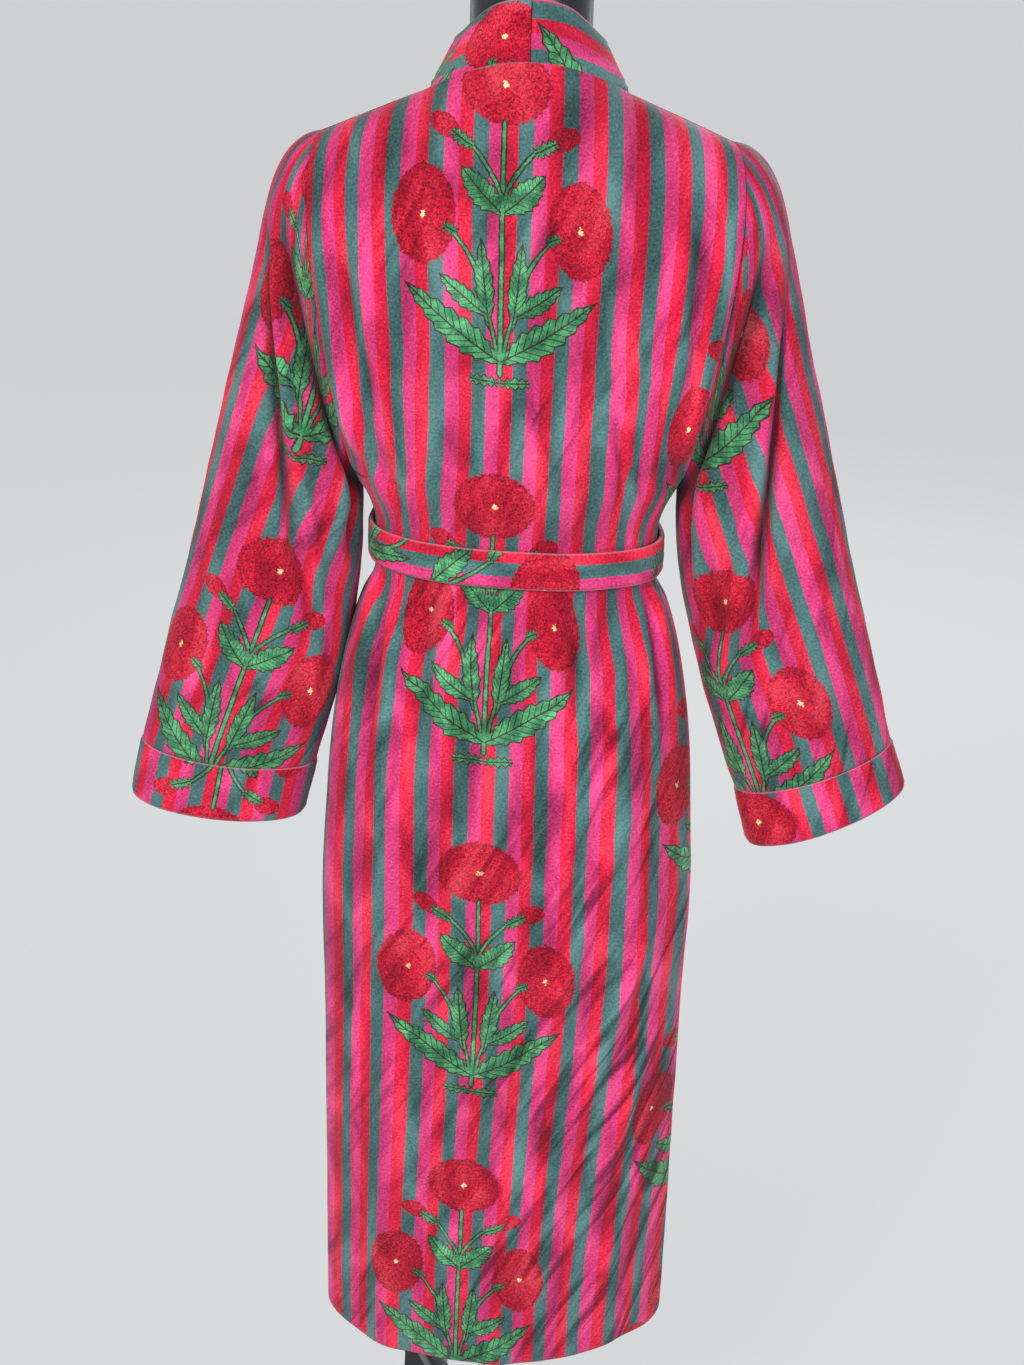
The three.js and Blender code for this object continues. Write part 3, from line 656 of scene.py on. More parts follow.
def bloom_field(tree, at, ruffle):
    """Distance from the nearest bloom's heart, 1 at its ruffled edge."""
    nearest = None
    for centre, size, turn, heart in BLOOMS:
        local = add(tree, "Mapping", {"Vector": at, "Location": (*centre, 0),
                                      "Rotation": (0, 0, math.radians(turn)), "Scale": (*size, 1)},
                    vector_type="TEXTURE")
        reach = add(tree, "VectorMath", {0: local}, out="Value", operation="LENGTH")
        reach = add(tree, "Math", {0: ruffle, 1: 1.0, 2: reach}, operation="MULTIPLY_ADD")
        reach = add(tree, "Math", {0: reach, 1: heart}, operation="MAXIMUM")
        if nearest is None:
            nearest = reach
        else:
            nearest = add(tree, "Math", {0: nearest, 1: reach}, operation="MINIMUM")
    return nearest


def greenery_field(tree, at):
    """How deep a point lies in a leaf or stem, in mm, and its place along and across that leaf."""
    deepest = None
    for root, tip, half_width, bend, outline in GREENERY:
        length = math.dist(root, tip)
        turn = math.atan2(tip[1] - root[1], tip[0] - root[0])
        local = add(tree, "Mapping", {"Vector": at, "Location": (*root, 0), "Rotation": (0, 0, turn),
                                      "Scale": (length, half_width, 1)}, vector_type="TEXTURE")
        split = add(tree, "SeparateXYZ", {0: local})
        along = split
        across = split.node.outputs[1]
        if bend:
            rest = add(tree, "Math", {0: 1.0, 1: along}, operation="SUBTRACT")
            bow = add(tree, "Math", {0: along, 1: rest}, operation="MULTIPLY")
            across = add(tree, "Math", {0: bow, 1: -bend * length / half_width, 2: across},
                         operation="MULTIPLY_ADD")
        off = add(tree, "Math", {0: across}, operation="ABSOLUTE")
        wide = add(tree, "FloatCurve", {"Value": along})
        set_outline(wide, outline)
        inside = add(tree, "Math", {0: wide, 1: off}, operation="SUBTRACT")
        depth = add(tree, "Math", {0: inside, 1: half_width}, operation="MULTIPLY")
        place = add(tree, "CombineXYZ", {0: along, 1: off, 2: half_width})
        if deepest is None:
            deepest, spot = depth, place
            continue
        over = add(tree, "Math", {0: depth, 1: deepest}, operation="GREATER_THAN")
        deepest = add(tree, "Math", {0: depth, 1: deepest}, operation="MAXIMUM")
        spot = add(tree, "Mix", {0: over, 4: spot, 5: place}, out=1, data_type="VECTOR")
    return deepest, spot


def blend_colour(tree, share, under, over, blend="MIX"):
    """One colour laid over another."""
    return add(tree, "Mix", {0: share, 6: under, 7: over}, out=2, data_type="RGBA", blend_type=blend)


def shaded(tree, colour, shade):
    """A colour made lighter or darker by a number."""
    shade = add(tree, "CombineColor", {0: shade, 1: shade, 2: shade})
    return blend_colour(tree, 1.0, colour, shade, "MULTIPLY")


def printed_cloth(tree, cloth):
    """The print's colour at a place on the cloth, in mm."""
    # The dye's edges wander by half a millimetre, as block-printed velvet's do.
    wander = add(tree, "TexNoise", {"Vector": cloth, "Scale": 0.28, "Detail": 1.0}, out="Color")
    wander = add(tree, "VectorMath", {0: wander, 1: (0.5, 0.5, 0.5)}, operation="SUBTRACT")
    wander = add(tree, "VectorMath", {0: wander, "Scale": 1.3}, operation="SCALE")
    at = add(tree, "VectorMath", {0: cloth, 1: wander}, operation="ADD")
    split = add(tree, "SeparateXYZ", {0: at})
    across, up = split, split.node.outputs[1]

    phase = (0.5 - TEAL_CENTRE / STRIPE_REPEAT) % 1 - TEAL_PHASE
    stripe = add(tree, "Math", {0: across, 1: 1 / STRIPE_REPEAT, 2: phase}, operation="MULTIPLY_ADD")
    stripe = add(tree, "Math", {0: stripe}, operation="FRACT")
    stripes = add(tree, "ValToRGB", {"Fac": stripe})
    set_stops(stripes, [(0.0, TEAL), (0.338, TEAL), (0.35, PINK), (0.672, PINK), (0.684, RED), (0.99, RED),
                        (1.0, TEAL)])

    # The cell that the place falls in: every other column of plants is half a repeat higher.
    cell = add(tree, "Math", {0: across, 1: 1 / CELL_WIDTH}, operation="MULTIPLY")
    cell = add(tree, "Math", {0: cell}, operation="ROUND")
    x = add(tree, "Math", {0: cell, 1: -CELL_WIDTH, 2: across}, operation="MULTIPLY_ADD")
    odd = add(tree, "Math", {0: cell, 1: 1.0}, operation="PINGPONG")
    y = add(tree, "Math", {0: odd, 1: CELL_HEIGHT / 2, 2: up}, operation="MULTIPLY_ADD")
    for value, step in ((CELL_FLOOR, "SUBTRACT"), (CELL_HEIGHT, "FLOORED_MODULO"), (CELL_FLOOR, "ADD")):
        y = add(tree, "Math", {0: y, 1: value}, operation=step)
    # One half of the plant is drawn. The right side hangs a little lower and wider than the left.
    y = add(tree, "Math", {0: x, 1: PLANT_LEAN, 2: y}, operation="MULTIPLY_ADD")
    half = add(tree, "Math", {0: x, 1: 2.0}, operation="SUBTRACT")
    half = add(tree, "Math", {0: half}, operation="ABSOLUTE")
    at = add(tree, "CombineXYZ", {0: half, 1: y})

    ruffle = add(tree, "TexNoise", {"Vector": cloth, "Scale": 0.33, "Detail": 2.0, "Roughness": 0.7})
    ruffle = add(tree, "Math", {0: ruffle, 1: 0.5}, operation="SUBTRACT")
    ruffle = add(tree, "Math", {0: ruffle, 1: 0.3}, operation="MULTIPLY")
    heart = bloom_field(tree, at, ruffle)
    speck = add(tree, "TexNoise", {"Vector": cloth, "Scale": 0.38, "Detail": 3.0, "Roughness": 0.65,
                                   "Distortion": 1.5})
    speck = add(tree, "MapRange", {0: speck, 1: 0.44, 2: 0.6})
    petals = blend_colour(tree, speck, srgb(CRIMSON), srgb(CRIMSON_DARK))
    rim = add(tree, "MapRange", {0: heart, 1: 0.86, 2: 1.0, 3: 0.0, 4: 0.55})
    petals = blend_colour(tree, rim, petals, srgb(CRIMSON_DARK))
    stamen = add(tree, "MapRange", {0: heart, 1: 0.05, 2: 0.08, 3: 1.0, 4: 0.0})
    petals = blend_colour(tree, stamen, petals, srgb(STAMEN))
    on_bloom = add(tree, "MapRange", {0: heart, 1: 0.985, 2: 1.0, 3: 1.0, 4: 0.0})
    colour = blend_colour(tree, on_bloom, stripes, petals)

    deep, spot = greenery_field(tree, at)
    part = add(tree, "SeparateXYZ", {0: spot})
    off = part.node.outputs[1]
    broad = part.node.outputs[2]
    rib = add(tree, "Math", {0: off, 1: broad}, operation="MULTIPLY")
    rib = add(tree, "MapRange", {0: rib, 1: 0.4, 2: 0.9, 3: 1.0, 4: 0.0})
    veins = add(tree, "Math", {0: off, 1: -0.16, 2: part}, operation="MULTIPLY_ADD")
    veins = add(tree, "Math", {0: veins, 1: 13.0}, operation="MULTIPLY")
    veins = add(tree, "Math", {0: veins}, operation="FRACT")
    veins = add(tree, "MapRange", {0: veins, 1: 0.78, 2: 0.9})
    drawn = add(tree, "Math", {0: rib, 1: veins}, operation="MAXIMUM")
    leafy = add(tree, "MapRange", {0: broad, 1: 4.0, 2: 6.0})
    drawn = add(tree, "Math", {0: drawn, 1: leafy}, operation="MULTIPLY")
    edge = add(tree, "MapRange", {0: deep, 1: 1.1, 2: 1.7, 3: 1.0, 4: 0.0})
    drawn = add(tree, "Math", {0: drawn, 1: edge}, operation="MAXIMUM")
    tone = add(tree, "TexNoise", {"Vector": cloth, "Scale": 0.09, "Detail": 2.0})
    tone = add(tree, "MapRange", {0: tone, 1: 0.4, 2: 0.62})
    green = blend_colour(tree, tone, srgb(GREEN_DARK), srgb(GREEN))
    ink = add(tree, "Math", {0: drawn, 1: 0.92}, operation="MULTIPLY")
    green = blend_colour(tree, ink, green, srgb(OUTLINE))
    on_green = add(tree, "MapRange", {0: deep, 1: 0.0, 2: 0.25})
    return blend_colour(tree, on_green, colour, green)


def stretched_noise(tree, at, size, detail, distortion):
    """Uneven marks of a length and width in mm."""
    at = add(tree, "Mapping", {"Vector": at, "Scale": (1 / size[0], 1 / size[1], 1)})
    return add(tree, "TexNoise", {"Vector": at, "Scale": 1.0, "Detail": detail, "Distortion": distortion})


def velvet(name, stitched):
    """Cotton velvet, block-printed. The cut pile is matt face on and lights up at grazing angles, it
    is brushed lighter and darker in patches, crushed in slanting streaks, and its fine tufts make a
    soft grain. A pale sheen is painted over its lightest patches. On the panels, painted shade
    darkens the troughs of creases and painted light brightens their ridges."""
    material, tree, shader = new_material(name)
    place = add(tree, "UVMap", uv_map="print")
    cloth = add(tree, "VectorMath", {0: place, "Scale": 1 / MM}, operation="SCALE")

    # Crushed streaks, with finer ones between them, which come in patches, most of all low on the
    # right of the skirt.
    turned = add(tree, "Mapping", {"Vector": cloth, "Rotation": (0, 0, STREAK_TURN)})
    broad = stretched_noise(tree, turned, BROAD_STREAK, 1.0, 0.7)
    fine = stretched_noise(tree, turned, FINE_STREAK, 2.0, 0.5)
    sharp = add(tree, "MapRange", {0: broad, 1: 0.5, 2: 0.7, 3: 0.1, 4: -0.5})
    fine = add(tree, "Math", {0: fine, 1: 0.5}, operation="SUBTRACT")
    streak = add(tree, "Math", {0: fine, 1: 0.6, 2: sharp}, operation="MULTIPLY_ADD")
    where = add(tree, "TexNoise", {"Vector": cloth, "Scale": 1 / WORN_PATCH, "Detail": 1.0})
    where = add(tree, "MapRange", {0: where, 1: 0.42, 2: 0.62, 3: 0.0, 4: 0.4})
    spot = add(tree, "SeparateXYZ", {0: add(tree, "TexCoord", out="Object")})
    low = add(tree, "MapRange", {0: spot.node.outputs[2], 1: 1.1, 2: 0.6, 3: 0.0, 4: 1.0})
    right = add(tree, "MapRange", {0: spot, 1: 0.1, 2: -0.12, 3: 0.14, 4: 0.72})
    worn = add(tree, "Math", {0: low, 1: right, 2: where}, operation="MULTIPLY_ADD")
    streak = add(tree, "Math", {0: streak, 1: worn}, operation="MULTIPLY")

    # A crease tilts the cloth, so the print shifts a little across it.
    shift = add(tree, "CombineXYZ", {0: streak})
    shift = add(tree, "VectorMath", {0: shift, "Scale": 2.5}, operation="SCALE")
    colour = printed_cloth(tree, add(tree, "VectorMath", {0: cloth, 1: shift}, operation="ADD"))

    # Brushed patches, and tufts of two millimetres.
    patch = stretched_noise(tree, cloth, BRUSHED_PATCH, 2.5, 0.6)
    tuft = add(tree, "TexNoise", {"Vector": cloth, "Scale": 0.45, "Detail": 3.0, "Roughness": 0.8})
    nap = add(tree, "Math", {0: streak, 1: 0.7, 2: patch}, operation="MULTIPLY_ADD")
    nap = add(tree, "Math", {0: tuft, 1: 0.9, 2: nap}, operation="MULTIPLY_ADD")
    shade = add(tree, "MapRange", {0: nap, 1: 0.66, 2: 1.2, 3: 0.3, 4: 1.54})
    colour = shaded(tree, colour, shade)
    # Painted shade in the troughs of the panels' creases and painted light on their ridges.
    if not stitched:
        colour = painted_fold_shade(tree, colour)
    # A painted sheen: the lightest nap is lifted towards a pale colour.
    painted_sheen = add(tree, "MapRange", {0: nap, 1: 0.95, 2: 1.35, 3: 0.0, 4: 0.1})
    colour = blend_colour(tree, painted_sheen, colour, srgb(PAINTED_SHEEN_COLOUR))

    pile = add(tree, "TexNoise", {"Vector": cloth, "Scale": 0.9, "Detail": 2.0, "Roughness": 0.65})
    relief = add(tree, "Math", {0: pile, 1: 0.25}, operation="MULTIPLY")
    relief = add(tree, "Math", {0: streak, 1: 2.2, 2: relief}, operation="MULTIPLY_ADD")
    if stitched:
        colour, relief = topstitch(tree, cloth, colour, relief)
    bump = add(tree, "Bump", {"Height": relief, "Strength": 1.0, "Distance": MM})
    fill(shader, {"Base Color": colour, "Normal": bump, "Roughness": 0.92, "Specular IOR Level": 0.2,
                  "Sheen Weight": 0.16, "Sheen Roughness": 0.5, "Sheen Tint": srgb(SHEEN)})
    return material


def painted_fold_shade(tree, colour):
    """Painted shade in the cloth's troughs and painted light on its ridges, in place of the shade that
    the folds cast. The fold coordinate is the cloth's height over its smooth form."""
    fold = add(tree, "UVMap", uv_map="fold")
    height = add(tree, "SeparateXYZ", {0: fold})
    # Troughs get painted shade, ridges get painted light.
    shade = add(tree, "MapRange", {0: height, 1: -7 * MM, 2: 3 * MM, 3: 0.3, 4: 1.14})
    return shaded(tree, colour, shade)


def topstitch(tree, cloth, colour, relief):
    """A pale painted highlight at a band's edge, where the pile catches the light, and a row of stitches
    that pulls the pile down. The trim coordinates are the distance to the nearest edge and the distance to
    the row."""
    trim = add(tree, "UVMap", uv_map="trim")
    trim = add(tree, "VectorMath", {0: trim, "Scale": 1 / MM}, operation="SCALE")
    from_edge = add(tree, "SeparateXYZ", {0: trim})
    from_row = from_edge.node.outputs[1]
    # A pale painted highlight along the very edge of the band.
    fold = add(tree, "MapRange", {0: from_edge, 1: 0.3, 2: 1.3, 3: 0.45, 4: 0.0})
    colour = blend_colour(tree, fold, colour, srgb(EDGE_HIGHLIGHT))
    sunk = add(tree, "MapRange", {0: from_row, 1: 0.0, 2: 2.2, 3: -0.9, 4: 0.0})
    relief = add(tree, "Math", {0: relief, 1: sunk}, operation="ADD")
    thread = add(tree, "MapRange", {0: from_row, 1: 0.35, 2: 0.75, 3: 0.6, 4: 0.0})
    # A row runs along one of the print's two directions, so their sum grows evenly along it.
    dash = add(tree, "VectorMath", {0: cloth, 1: (1 / STITCH_LENGTH, 1 / STITCH_LENGTH, 0)}, out="Value",
               operation="DOT_PRODUCT")
    dash = add(tree, "Math", {0: dash}, operation="FRACT")
    dash = add(tree, "Math", {0: dash, 1: 0.8}, operation="LESS_THAN")
    thread = add(tree, "Math", {0: thread, 1: dash}, operation="MULTIPLY")
    return blend_colour(tree, thread, colour, srgb(THREAD)), relief


velvet_panel = velvet("printed_velvet", False)
velvet_band = velvet("printed_velvet_band", True)

# Creases: a line through three points, its half width and its height. A trough has a
# height below zero. hard is how much steeper the crease falls on one side.
CREASE_GAIN = 1.4
BACK_CREASES = [
    ((-139, 1400), (-135, 1330), (-138, 1238), 5, -4, 1.6),
    ((-126, 1395), (-122, 1330), (-124, 1240), 8, 3.4, 1.0),
    ((141, 1385), (132, 1300), (104, 1200), 5, -3.6, 1.6),
    ((126, 1380), (118, 1300), (92, 1196), 8, 3, 1.0),
    ((66, 1082), (70, 1030), (84, 930), 6, -3, 0.8),
    ((-48, 1082), (-52, 1030), (-58, 940), 6, -3, 0.8),
    ((142, 1410), (157, 1375), (155, 1322), 9, 2.5, 0.5),
    ((150, 1322), (142, 1258), (126, 1188), 8, 3, 0.6),
    ((-149, 1395), (-154, 1347), (-152, 1287), 6, 2.5, 0.6),
    ((-152, 1323), (-130, 1284), (-121, 1225), 6, 2.8, 0.5),
    ((-65, 1235), (-76, 1190), (-69, 1138), 7, 2.6, 0.5),
    ((-96, 1257), (-88, 1215), (-102, 1135), 7, 3, 0.5),
    ((-80, 1240), (-82, 1200), (-88, 1140), 6, -2.4, 0.8),
    ((-112, 1249), (-106, 1207), (-113, 1144), 7, 3.2, 0.5),
    ((-52, 1225), (-58, 1180), (-50, 1130), 8, -1.6, 0.8),
    ((136, 1242), (118, 1184), (98, 1133), 8, 3.2, 0.5),
    ((117, 1226), (106, 1176), (90, 1130), 6, -2.2, 0.7),
    ((73, 1243), (74, 1185), (84, 1133), 9, 2, 0.6),
    ((23, 1245), (28, 1212), (39, 1150), 10, 1.5, 0.7),
    ((-28, 1246), (-41, 1214), (-48, 1163), 9, 1.5, 0.7),
    ((112, 1080), (124, 1036), (140, 925), 7, 4, 0.6),
    ((98, 1082), (106, 982), (112, 868), 7, 3.2, 0.6),
    ((105, 1082), (116, 1000), (126, 900), 5, -2.6, 0.8),
    ((80, 1084), (86, 1000), (88, 900), 7, 2.2, 0.6),
    ((-110, 1084), (-128, 1030), (-144, 934), 7, 4, 0.6),
    ((-100, 1084), (-116, 1007), (-129, 895), 6, 3.4, 0.6),
    ((-84, 1084), (-92, 1000), (-98, 890), 7, 2.4, 0.6),
    ((-105, 1084), (-122, 1010), (-136, 915), 4, -2.6, 0.8),
    ((50, 1082), (54, 1010), (50, 920), 9, 1.6, 0.7),
    ((-30, 1082), (-33, 1010), (-28, 930), 9, 1.6, 0.7),
    ((-60, 1084), (-66, 1000), (-62, 880), 8, 1.8, 0.7),
    ((-125, 933), (-80, 800), (-20, 600), 9, 2.6, 0.5),
    ((-143, 818), (-91, 631), (-24, 416), 9, 2.8, 0.5),
    ((-110, 1000), (-60, 860), (0, 700), 10, 2.2, 0.5),
    ((-153, 696), (-113, 555), (-64, 371), 9, 2.6, 0.5),
    ((-140, 760), (-112, 650), (-70, 520), 7, -2, 0.7),
    ((-73, 1000), (-31, 880), (10, 770), 10, 2, 0.5),
    ((-150, 560), (-120, 450), (-80, 320), 8, 2.2, 0.5),
    ((-60, 660), (-20, 520), (30, 360), 10, 2, 0.5),
    ((40, 860), (80, 700), (100, 500), 11, 1.8, 0.6),
    ((110, 760), (132, 600), (140, 430), 9, 2.2, 0.6),
    ((0, 560), (40, 430), (76, 320), 10, 1.6, 0.6),
]
FRONT_CREASES = [
    ((-120, 1400), (-116, 1330), (-100, 1250), 10, 2.4, 0.6),
    ((122, 1395), (118, 1320), (98, 1240), 10, 2.6, 0.6),
    ((-100, 1240), (-84, 1190), (-70, 1135), 8, 2.8, 0.5),
    ((104, 1236), (86, 1186), (70, 1132), 8, 3, 0.5),
    ((-60, 1230), (-52, 1180), (-44, 1135), 8, 2, 0.6),
    ((60, 1225), (50, 1175), (36, 1132), 8, 2.2, 0.6),
    ((-108, 1082), (-122, 1010), (-134, 900), 7, 3.6, 0.6),
    ((-90, 1082), (-98, 990), (-104, 860), 7, 2.8, 0.6),
    ((108, 1082), (124, 1004), (138, 890), 7, 3.6, 0.6),
    ((92, 1082), (100, 980), (104, 850), 7, 2.8, 0.6),
    ((66, 1080), (74, 960), (70, 800), 9, 2.2, 0.6),
    ((-68, 1080), (-78, 960), (-74, 800), 9, 2, 0.6),
    ((30, 900), (70, 740), (90, 560), 11, 2, 0.6),
    ((120, 820), (134, 640), (130, 430), 9, 2.4, 0.6),
    ((-120, 800), (-132, 620), (-126, 400), 9, 2.4, 0.6),
    ((-90, 640), (-70, 480), (-80, 320), 10, 1.8, 0.6),
    ((70, 540), (96, 420), (100, 310), 10, 1.8, 0.6),
]


def body_crease(face, points):
    """Height of the creases and of the cloth's own unevenness on the body."""
    x, z = points[..., 0], points[..., 2]
    height = crease_height(BACK_CREASES if face > 0 else FRONT_CREASES, x, z)
    height += 0.9 * undulation(x, z * 0.35, 62, 2 + face)
    height += 0.5 * undulation(x, z * 0.6, 31, 5 + face)
    belt_z = BELT_TOP_Z - BELT_HEIGHT / 2 + BELT_TILT * x
    under_belt = bell(z, belt_z, 20, 4)
    at_yoke = ramp(z, 1400, 1455)
    return np.maximum(height, DEEPEST_CREASE) * (1 - under_belt) * (1 - 0.8 * at_yoke)


def armhole_roll(u, level):
    """The back's cloth rolls out over the armhole seam."""
    side = bell(np.abs(u), 0.94, 0.035)
    return ARMHOLE_ROLL * side * ramp(level, 1.04, 1.25) * (1 - ramp(level, 1.6, 1.85))


def cloth_width(u, z):
    """Place across the cloth of a point on the body, from the centre. The cloth lies smooth over the
    middle, and what is left over is gathered at the sides, most of all beside the belt."""
    gather = 1 + 0.04 * ramp(z, 900, 1000) + 0.11 * ramp(z, 1000, 1060) - 0.092 * ramp(z, 1080, 1112)
    reach = section(z, SIDE) * gather
    whole = mix(WHOLE_SKIRT, WHOLE_TOP, ramp(z, 1060, 1200))
    across = np.abs(u)
    return np.sign(u) * (reach * across + (whole - reach) * across**6)


def seam_dip(u, level, top_edge):
    """The cloth rolls in a little at its side seams, armholes and shoulder seams."""
    side = bell(np.abs(u), 1, 0.006)
    shoulder = bell(level, 2, 0.02) * top_edge
    return -SEAM_DIP * np.maximum(side, shoulder)


def body_levels(step):
    """Levels of the rows of points, closer where the cloth turns in to the underarm and shoulder."""
    low = np.linspace(0, 1, int((UNDERARM_Z - HEM_Z) / step))
    turn = np.linspace(0, math.pi, int((SHOULDER_TIP_Z - UNDERARM_Z) / step * 1.4))
    return np.concatenate([low[:-1], 1.5 - np.cos(turn) / 2])


def cloth_step():
    """Distance between the body's rows of points."""
    return 5


def make_back():
    """The back panel. The print hangs a little aside where the cloth is pulled."""
    levels = body_levels(cloth_step())
    columns = 120
    us = np.sin(np.linspace(-math.pi / 2, math.pi / 2, columns))
    u, level = np.meshgrid(us, levels)
    points = body_points(1, u, level)
    keep = 1 - ramp(np.abs(u), 0.985, 1)
    height = (body_crease(1, points) + armhole_roll(u, level)) * keep
    height = height + seam_dip(u, level, np.abs(u) > NECK_U)
    points = raised(points, height, 1)
    z = points[..., 2]
    drift = SKIRT_DRIFT * (1 - ramp(z, 300, 760)) * (1 - 0.7 * u)
    drift = drift + WAIST_DRIFT * (1 - ramp(z, 1000, 1250))
    across = PLANT_SHIFT - (cloth_width(u, z) - drift)
    maps = {"print": pair(across, z - BACK_PLANT_Z), "fold": pair(height, 0)}
    return cloth_shell("robe_back", points, maps, CLOTH, 1, velvet_panel)


def seam_x(lap_x, z):
    """Where a front meets its band: up the lap to the belt, then slanting to the neck."""
    rise = np.clip((z - BELT_TOP_Z) / (NECK_SIDE_Z - BELT_TOP_Z), 0, 1)
    return mix(lap_x, NECK_SIDE_X, 1 - (1 - rise) ** 2.2)


def across_at(x, level):
    """The u of a point of the body at x."""
    edge = np.where(level < 1, section(height_of(level), SIDE), armhole(np.maximum(0, level - 1))[0])
    return x / edge


def front_points(side, lap, u, level):
    """Points of a front, which lies over the other one by lap."""
    points = body_points(-1, u * side, level)
    x = points[..., 0] * side
    low = 1 - ramp(level, 1.55, 1.9)
    points[..., 1] -= lap * (1 - ramp(x, LAP_FULL_X, LAP_START_X)) * low
    return points


def make_front(name):
    """A front, from its side seam to the seam of its band."""
    side, lap_x, lap = FRONTS[name]
    levels = body_levels(cloth_step())
    columns = 70
    seam = np.arcsin(across_at(seam_x(lap_x, height_of(levels)), levels))
    shares = np.linspace(0, 1, columns)
    u = np.sin(mix(math.pi / 2, seam[:, None], shares[None, :]))
    level = levels[:, None] * np.ones(columns)
    points = front_points(side, lap, u, level)
    keep = 1 - ramp(u, 0.985, 1)
    height = body_crease(-1, points) * keep + seam_dip(u, level, u > NECK_U)
    points = raised(points, height, side)
    z = points[..., 2]
    across = cloth_width(u * side, z) + FRONT_PLANT_X[name]
    maps = {"print": pair(across, z - FRONT_PLANT_Z), "fold": pair(height, 0)}
    return cloth_shell("robe_front_" + name, points, maps, CLOTH, side, velvet_panel)


def band_edge(inset, roll, row):
    """A band rolls in at its edges and sinks a little along its row of stitches. inset is the distance
    to the nearest edge."""
    return -roll * bell(inset, 0, 1.6) - row * bell(inset, STITCH_INSET, 1.4)


def standing(side, x, y):
    """The way the band stands up from the neck's seam: inward at the sides, nearly straight behind."""
    around = np.maximum(1e-6, np.hypot(x / NECK_SIDE_X, y / NECK_DEPTH))
    inward = np.stack([-side * np.abs(x) / NECK_SIDE_X, -y / NECK_DEPTH, 0 * x], -1) / around[..., None]
    lean = mix(BAND_LEAN_BACK, BAND_LEAN, ramp(np.abs(x), 0, NECK_SIDE_X))
    direction = inward * lean[..., None] + np.array([0, 0, 1.0])
    return direction / np.linalg.norm(direction, axis=-1, keepdims=True)


def make_collar(name):
    """Half of the collar band: from the centre back round the neck and down the front to the hem."""
    side, lap_x, lap = FRONTS[name]
    shares = np.linspace(0, 1, 15)
    neck_us = np.linspace(0, NECK_U, 24)[:-1]
    seam = body_points(1, neck_us * side, 2.0)
    seam[0, 0] = side * SEAM / 2
    reach = mix(2 * SEAM, NECK_BAND_WIDTH, shares)
    up = standing(side, seam[:, 0], seam[:, 1])
    neck = seam[:, None, :] + up[:, None, :] * reach[None, :, None]
    levels = body_levels(cloth_step() * 1.2)[::-1]
    z = height_of(levels)
    x = seam_x(lap_x, z)
    seam = front_points(side, lap, across_at(x, levels), levels)
    up = standing(side, seam[:, 0], seam[:, 1])
    stand = seam[:, None, :] + up[:, None, :] * reach[None, :, None]
    slope = (seam_x(lap_x, z + 5) - seam_x(lap_x, z - 5)) / 10
    wide = BAND_WIDTH * np.minimum(BAND_WIDEST, np.hypot(1, slope))
    level = levels[:, None] * np.ones(len(shares))
    lying_x = x[:, None] - mix(2 * SEAM, wide[:, None], shares[None, :])
    lying = front_points(side, lap, across_at(lying_x, level), level)
    upright = ramp(levels, 1.6, 1.98)[:, None, None]
    points = np.concatenate([neck, lying * (1 - upright) + stand * upright])
    normals = grid_normals(points, -side)
    normals[0, :, 0] = 0
    run = length_along(points[:, len(shares) // 2])[:, None]
    front = ramp(run, 120, 220)
    inset = np.minimum(shares, 1 - shares) * NECK_BAND_WIDTH
    uneven = 0.7 * undulation(run, shares * BAND_WIDTH, 55, 4 + side) * (1 - front * 0.5)
    height = body_crease(-1, points) * front + uneven + band_edge(inset, 1.3, 0.6)
    points = points + normals * height[..., None]
    lay = COLLAR_PRINT[name]
    place = pair(lay["low"] + NECK_BAND_WIDTH * shares * lay["turn"], lay["start"] - run)
    maps = {"print": place, "trim": pair(inset, NO_TRIM)}
    return cloth_shell("robe_collar_" + name, points, maps, BAND, -side, velvet_band)


# Creases of a sleeve, by direction (0 outer, 90 back, 180 inner) and share of its length.
SLEEVE_CREASES = {
    "left": [
        ((22, 0.08), (70, 0.26), (110, 0.56), 5, -8, 2.0),
        ((44, 0.1), (97, 0.27), (128, 0.54), 9, 5, 0.6),
        ((150, 0.03), (152, 0.2), (150, 0.36), 9, -5, 1.0),
        ((150, 0.06), (136, 0.26), (118, 0.44), 8, 3, 0.5),
        ((60, 0.05), (70, 0.2), (66, 0.36), 10, -2, 0.8),
        ((100, 0.5), (112, 0.62), (104, 0.8), 9, 2.4, 0.6),
        ((140, 0.46), (134, 0.62), (140, 0.8), 9, 2.6, 0.6),
        ((70, 0.5), (80, 0.66), (74, 0.86), 10, 1.8, 0.6),
        ((250, 0.04), (256, 0.26), (270, 0.5), 9, 3, 0.5),
        ((220, 0.2), (230, 0.4), (226, 0.62), 9, 2.6, 0.6),
        ((290, 0.4), (284, 0.6), (292, 0.84), 10, 2, 0.6),
    ],
    "right": [
        ((32, 0.1), (78, 0.37), (104, 0.6), 5, -8, 2.0),
        ((54, 0.12), (98, 0.36), (120, 0.58), 9, 5, 0.6),
        ((146, 0.03), (150, 0.2), (150, 0.36), 9, -5, 1.0),
        ((140, 0.1), (144, 0.3), (132, 0.5), 8, 3, 0.5),
        ((128, 0.3), (132, 0.46), (124, 0.62), 7, -2.6, 0.7),
        ((84, 0.42), (96, 0.5), (110, 0.54), 7, 2, 0.6),
        ((60, 0.5), (66, 0.7), (58, 0.9), 10, 1.8, 0.6),
        ((112, 0.6), (104, 0.76), (108, 0.92), 9, 2.2, 0.6),
        ((250, 0.04), (242, 0.3), (254, 0.56), 9, 3, 0.5),
        ((222, 0.3), (230, 0.5), (224, 0.7), 9, 2.4, 0.6),
        ((300, 0.44), (292, 0.64), (300, 0.88), 10, 2, 0.6),
    ],
}
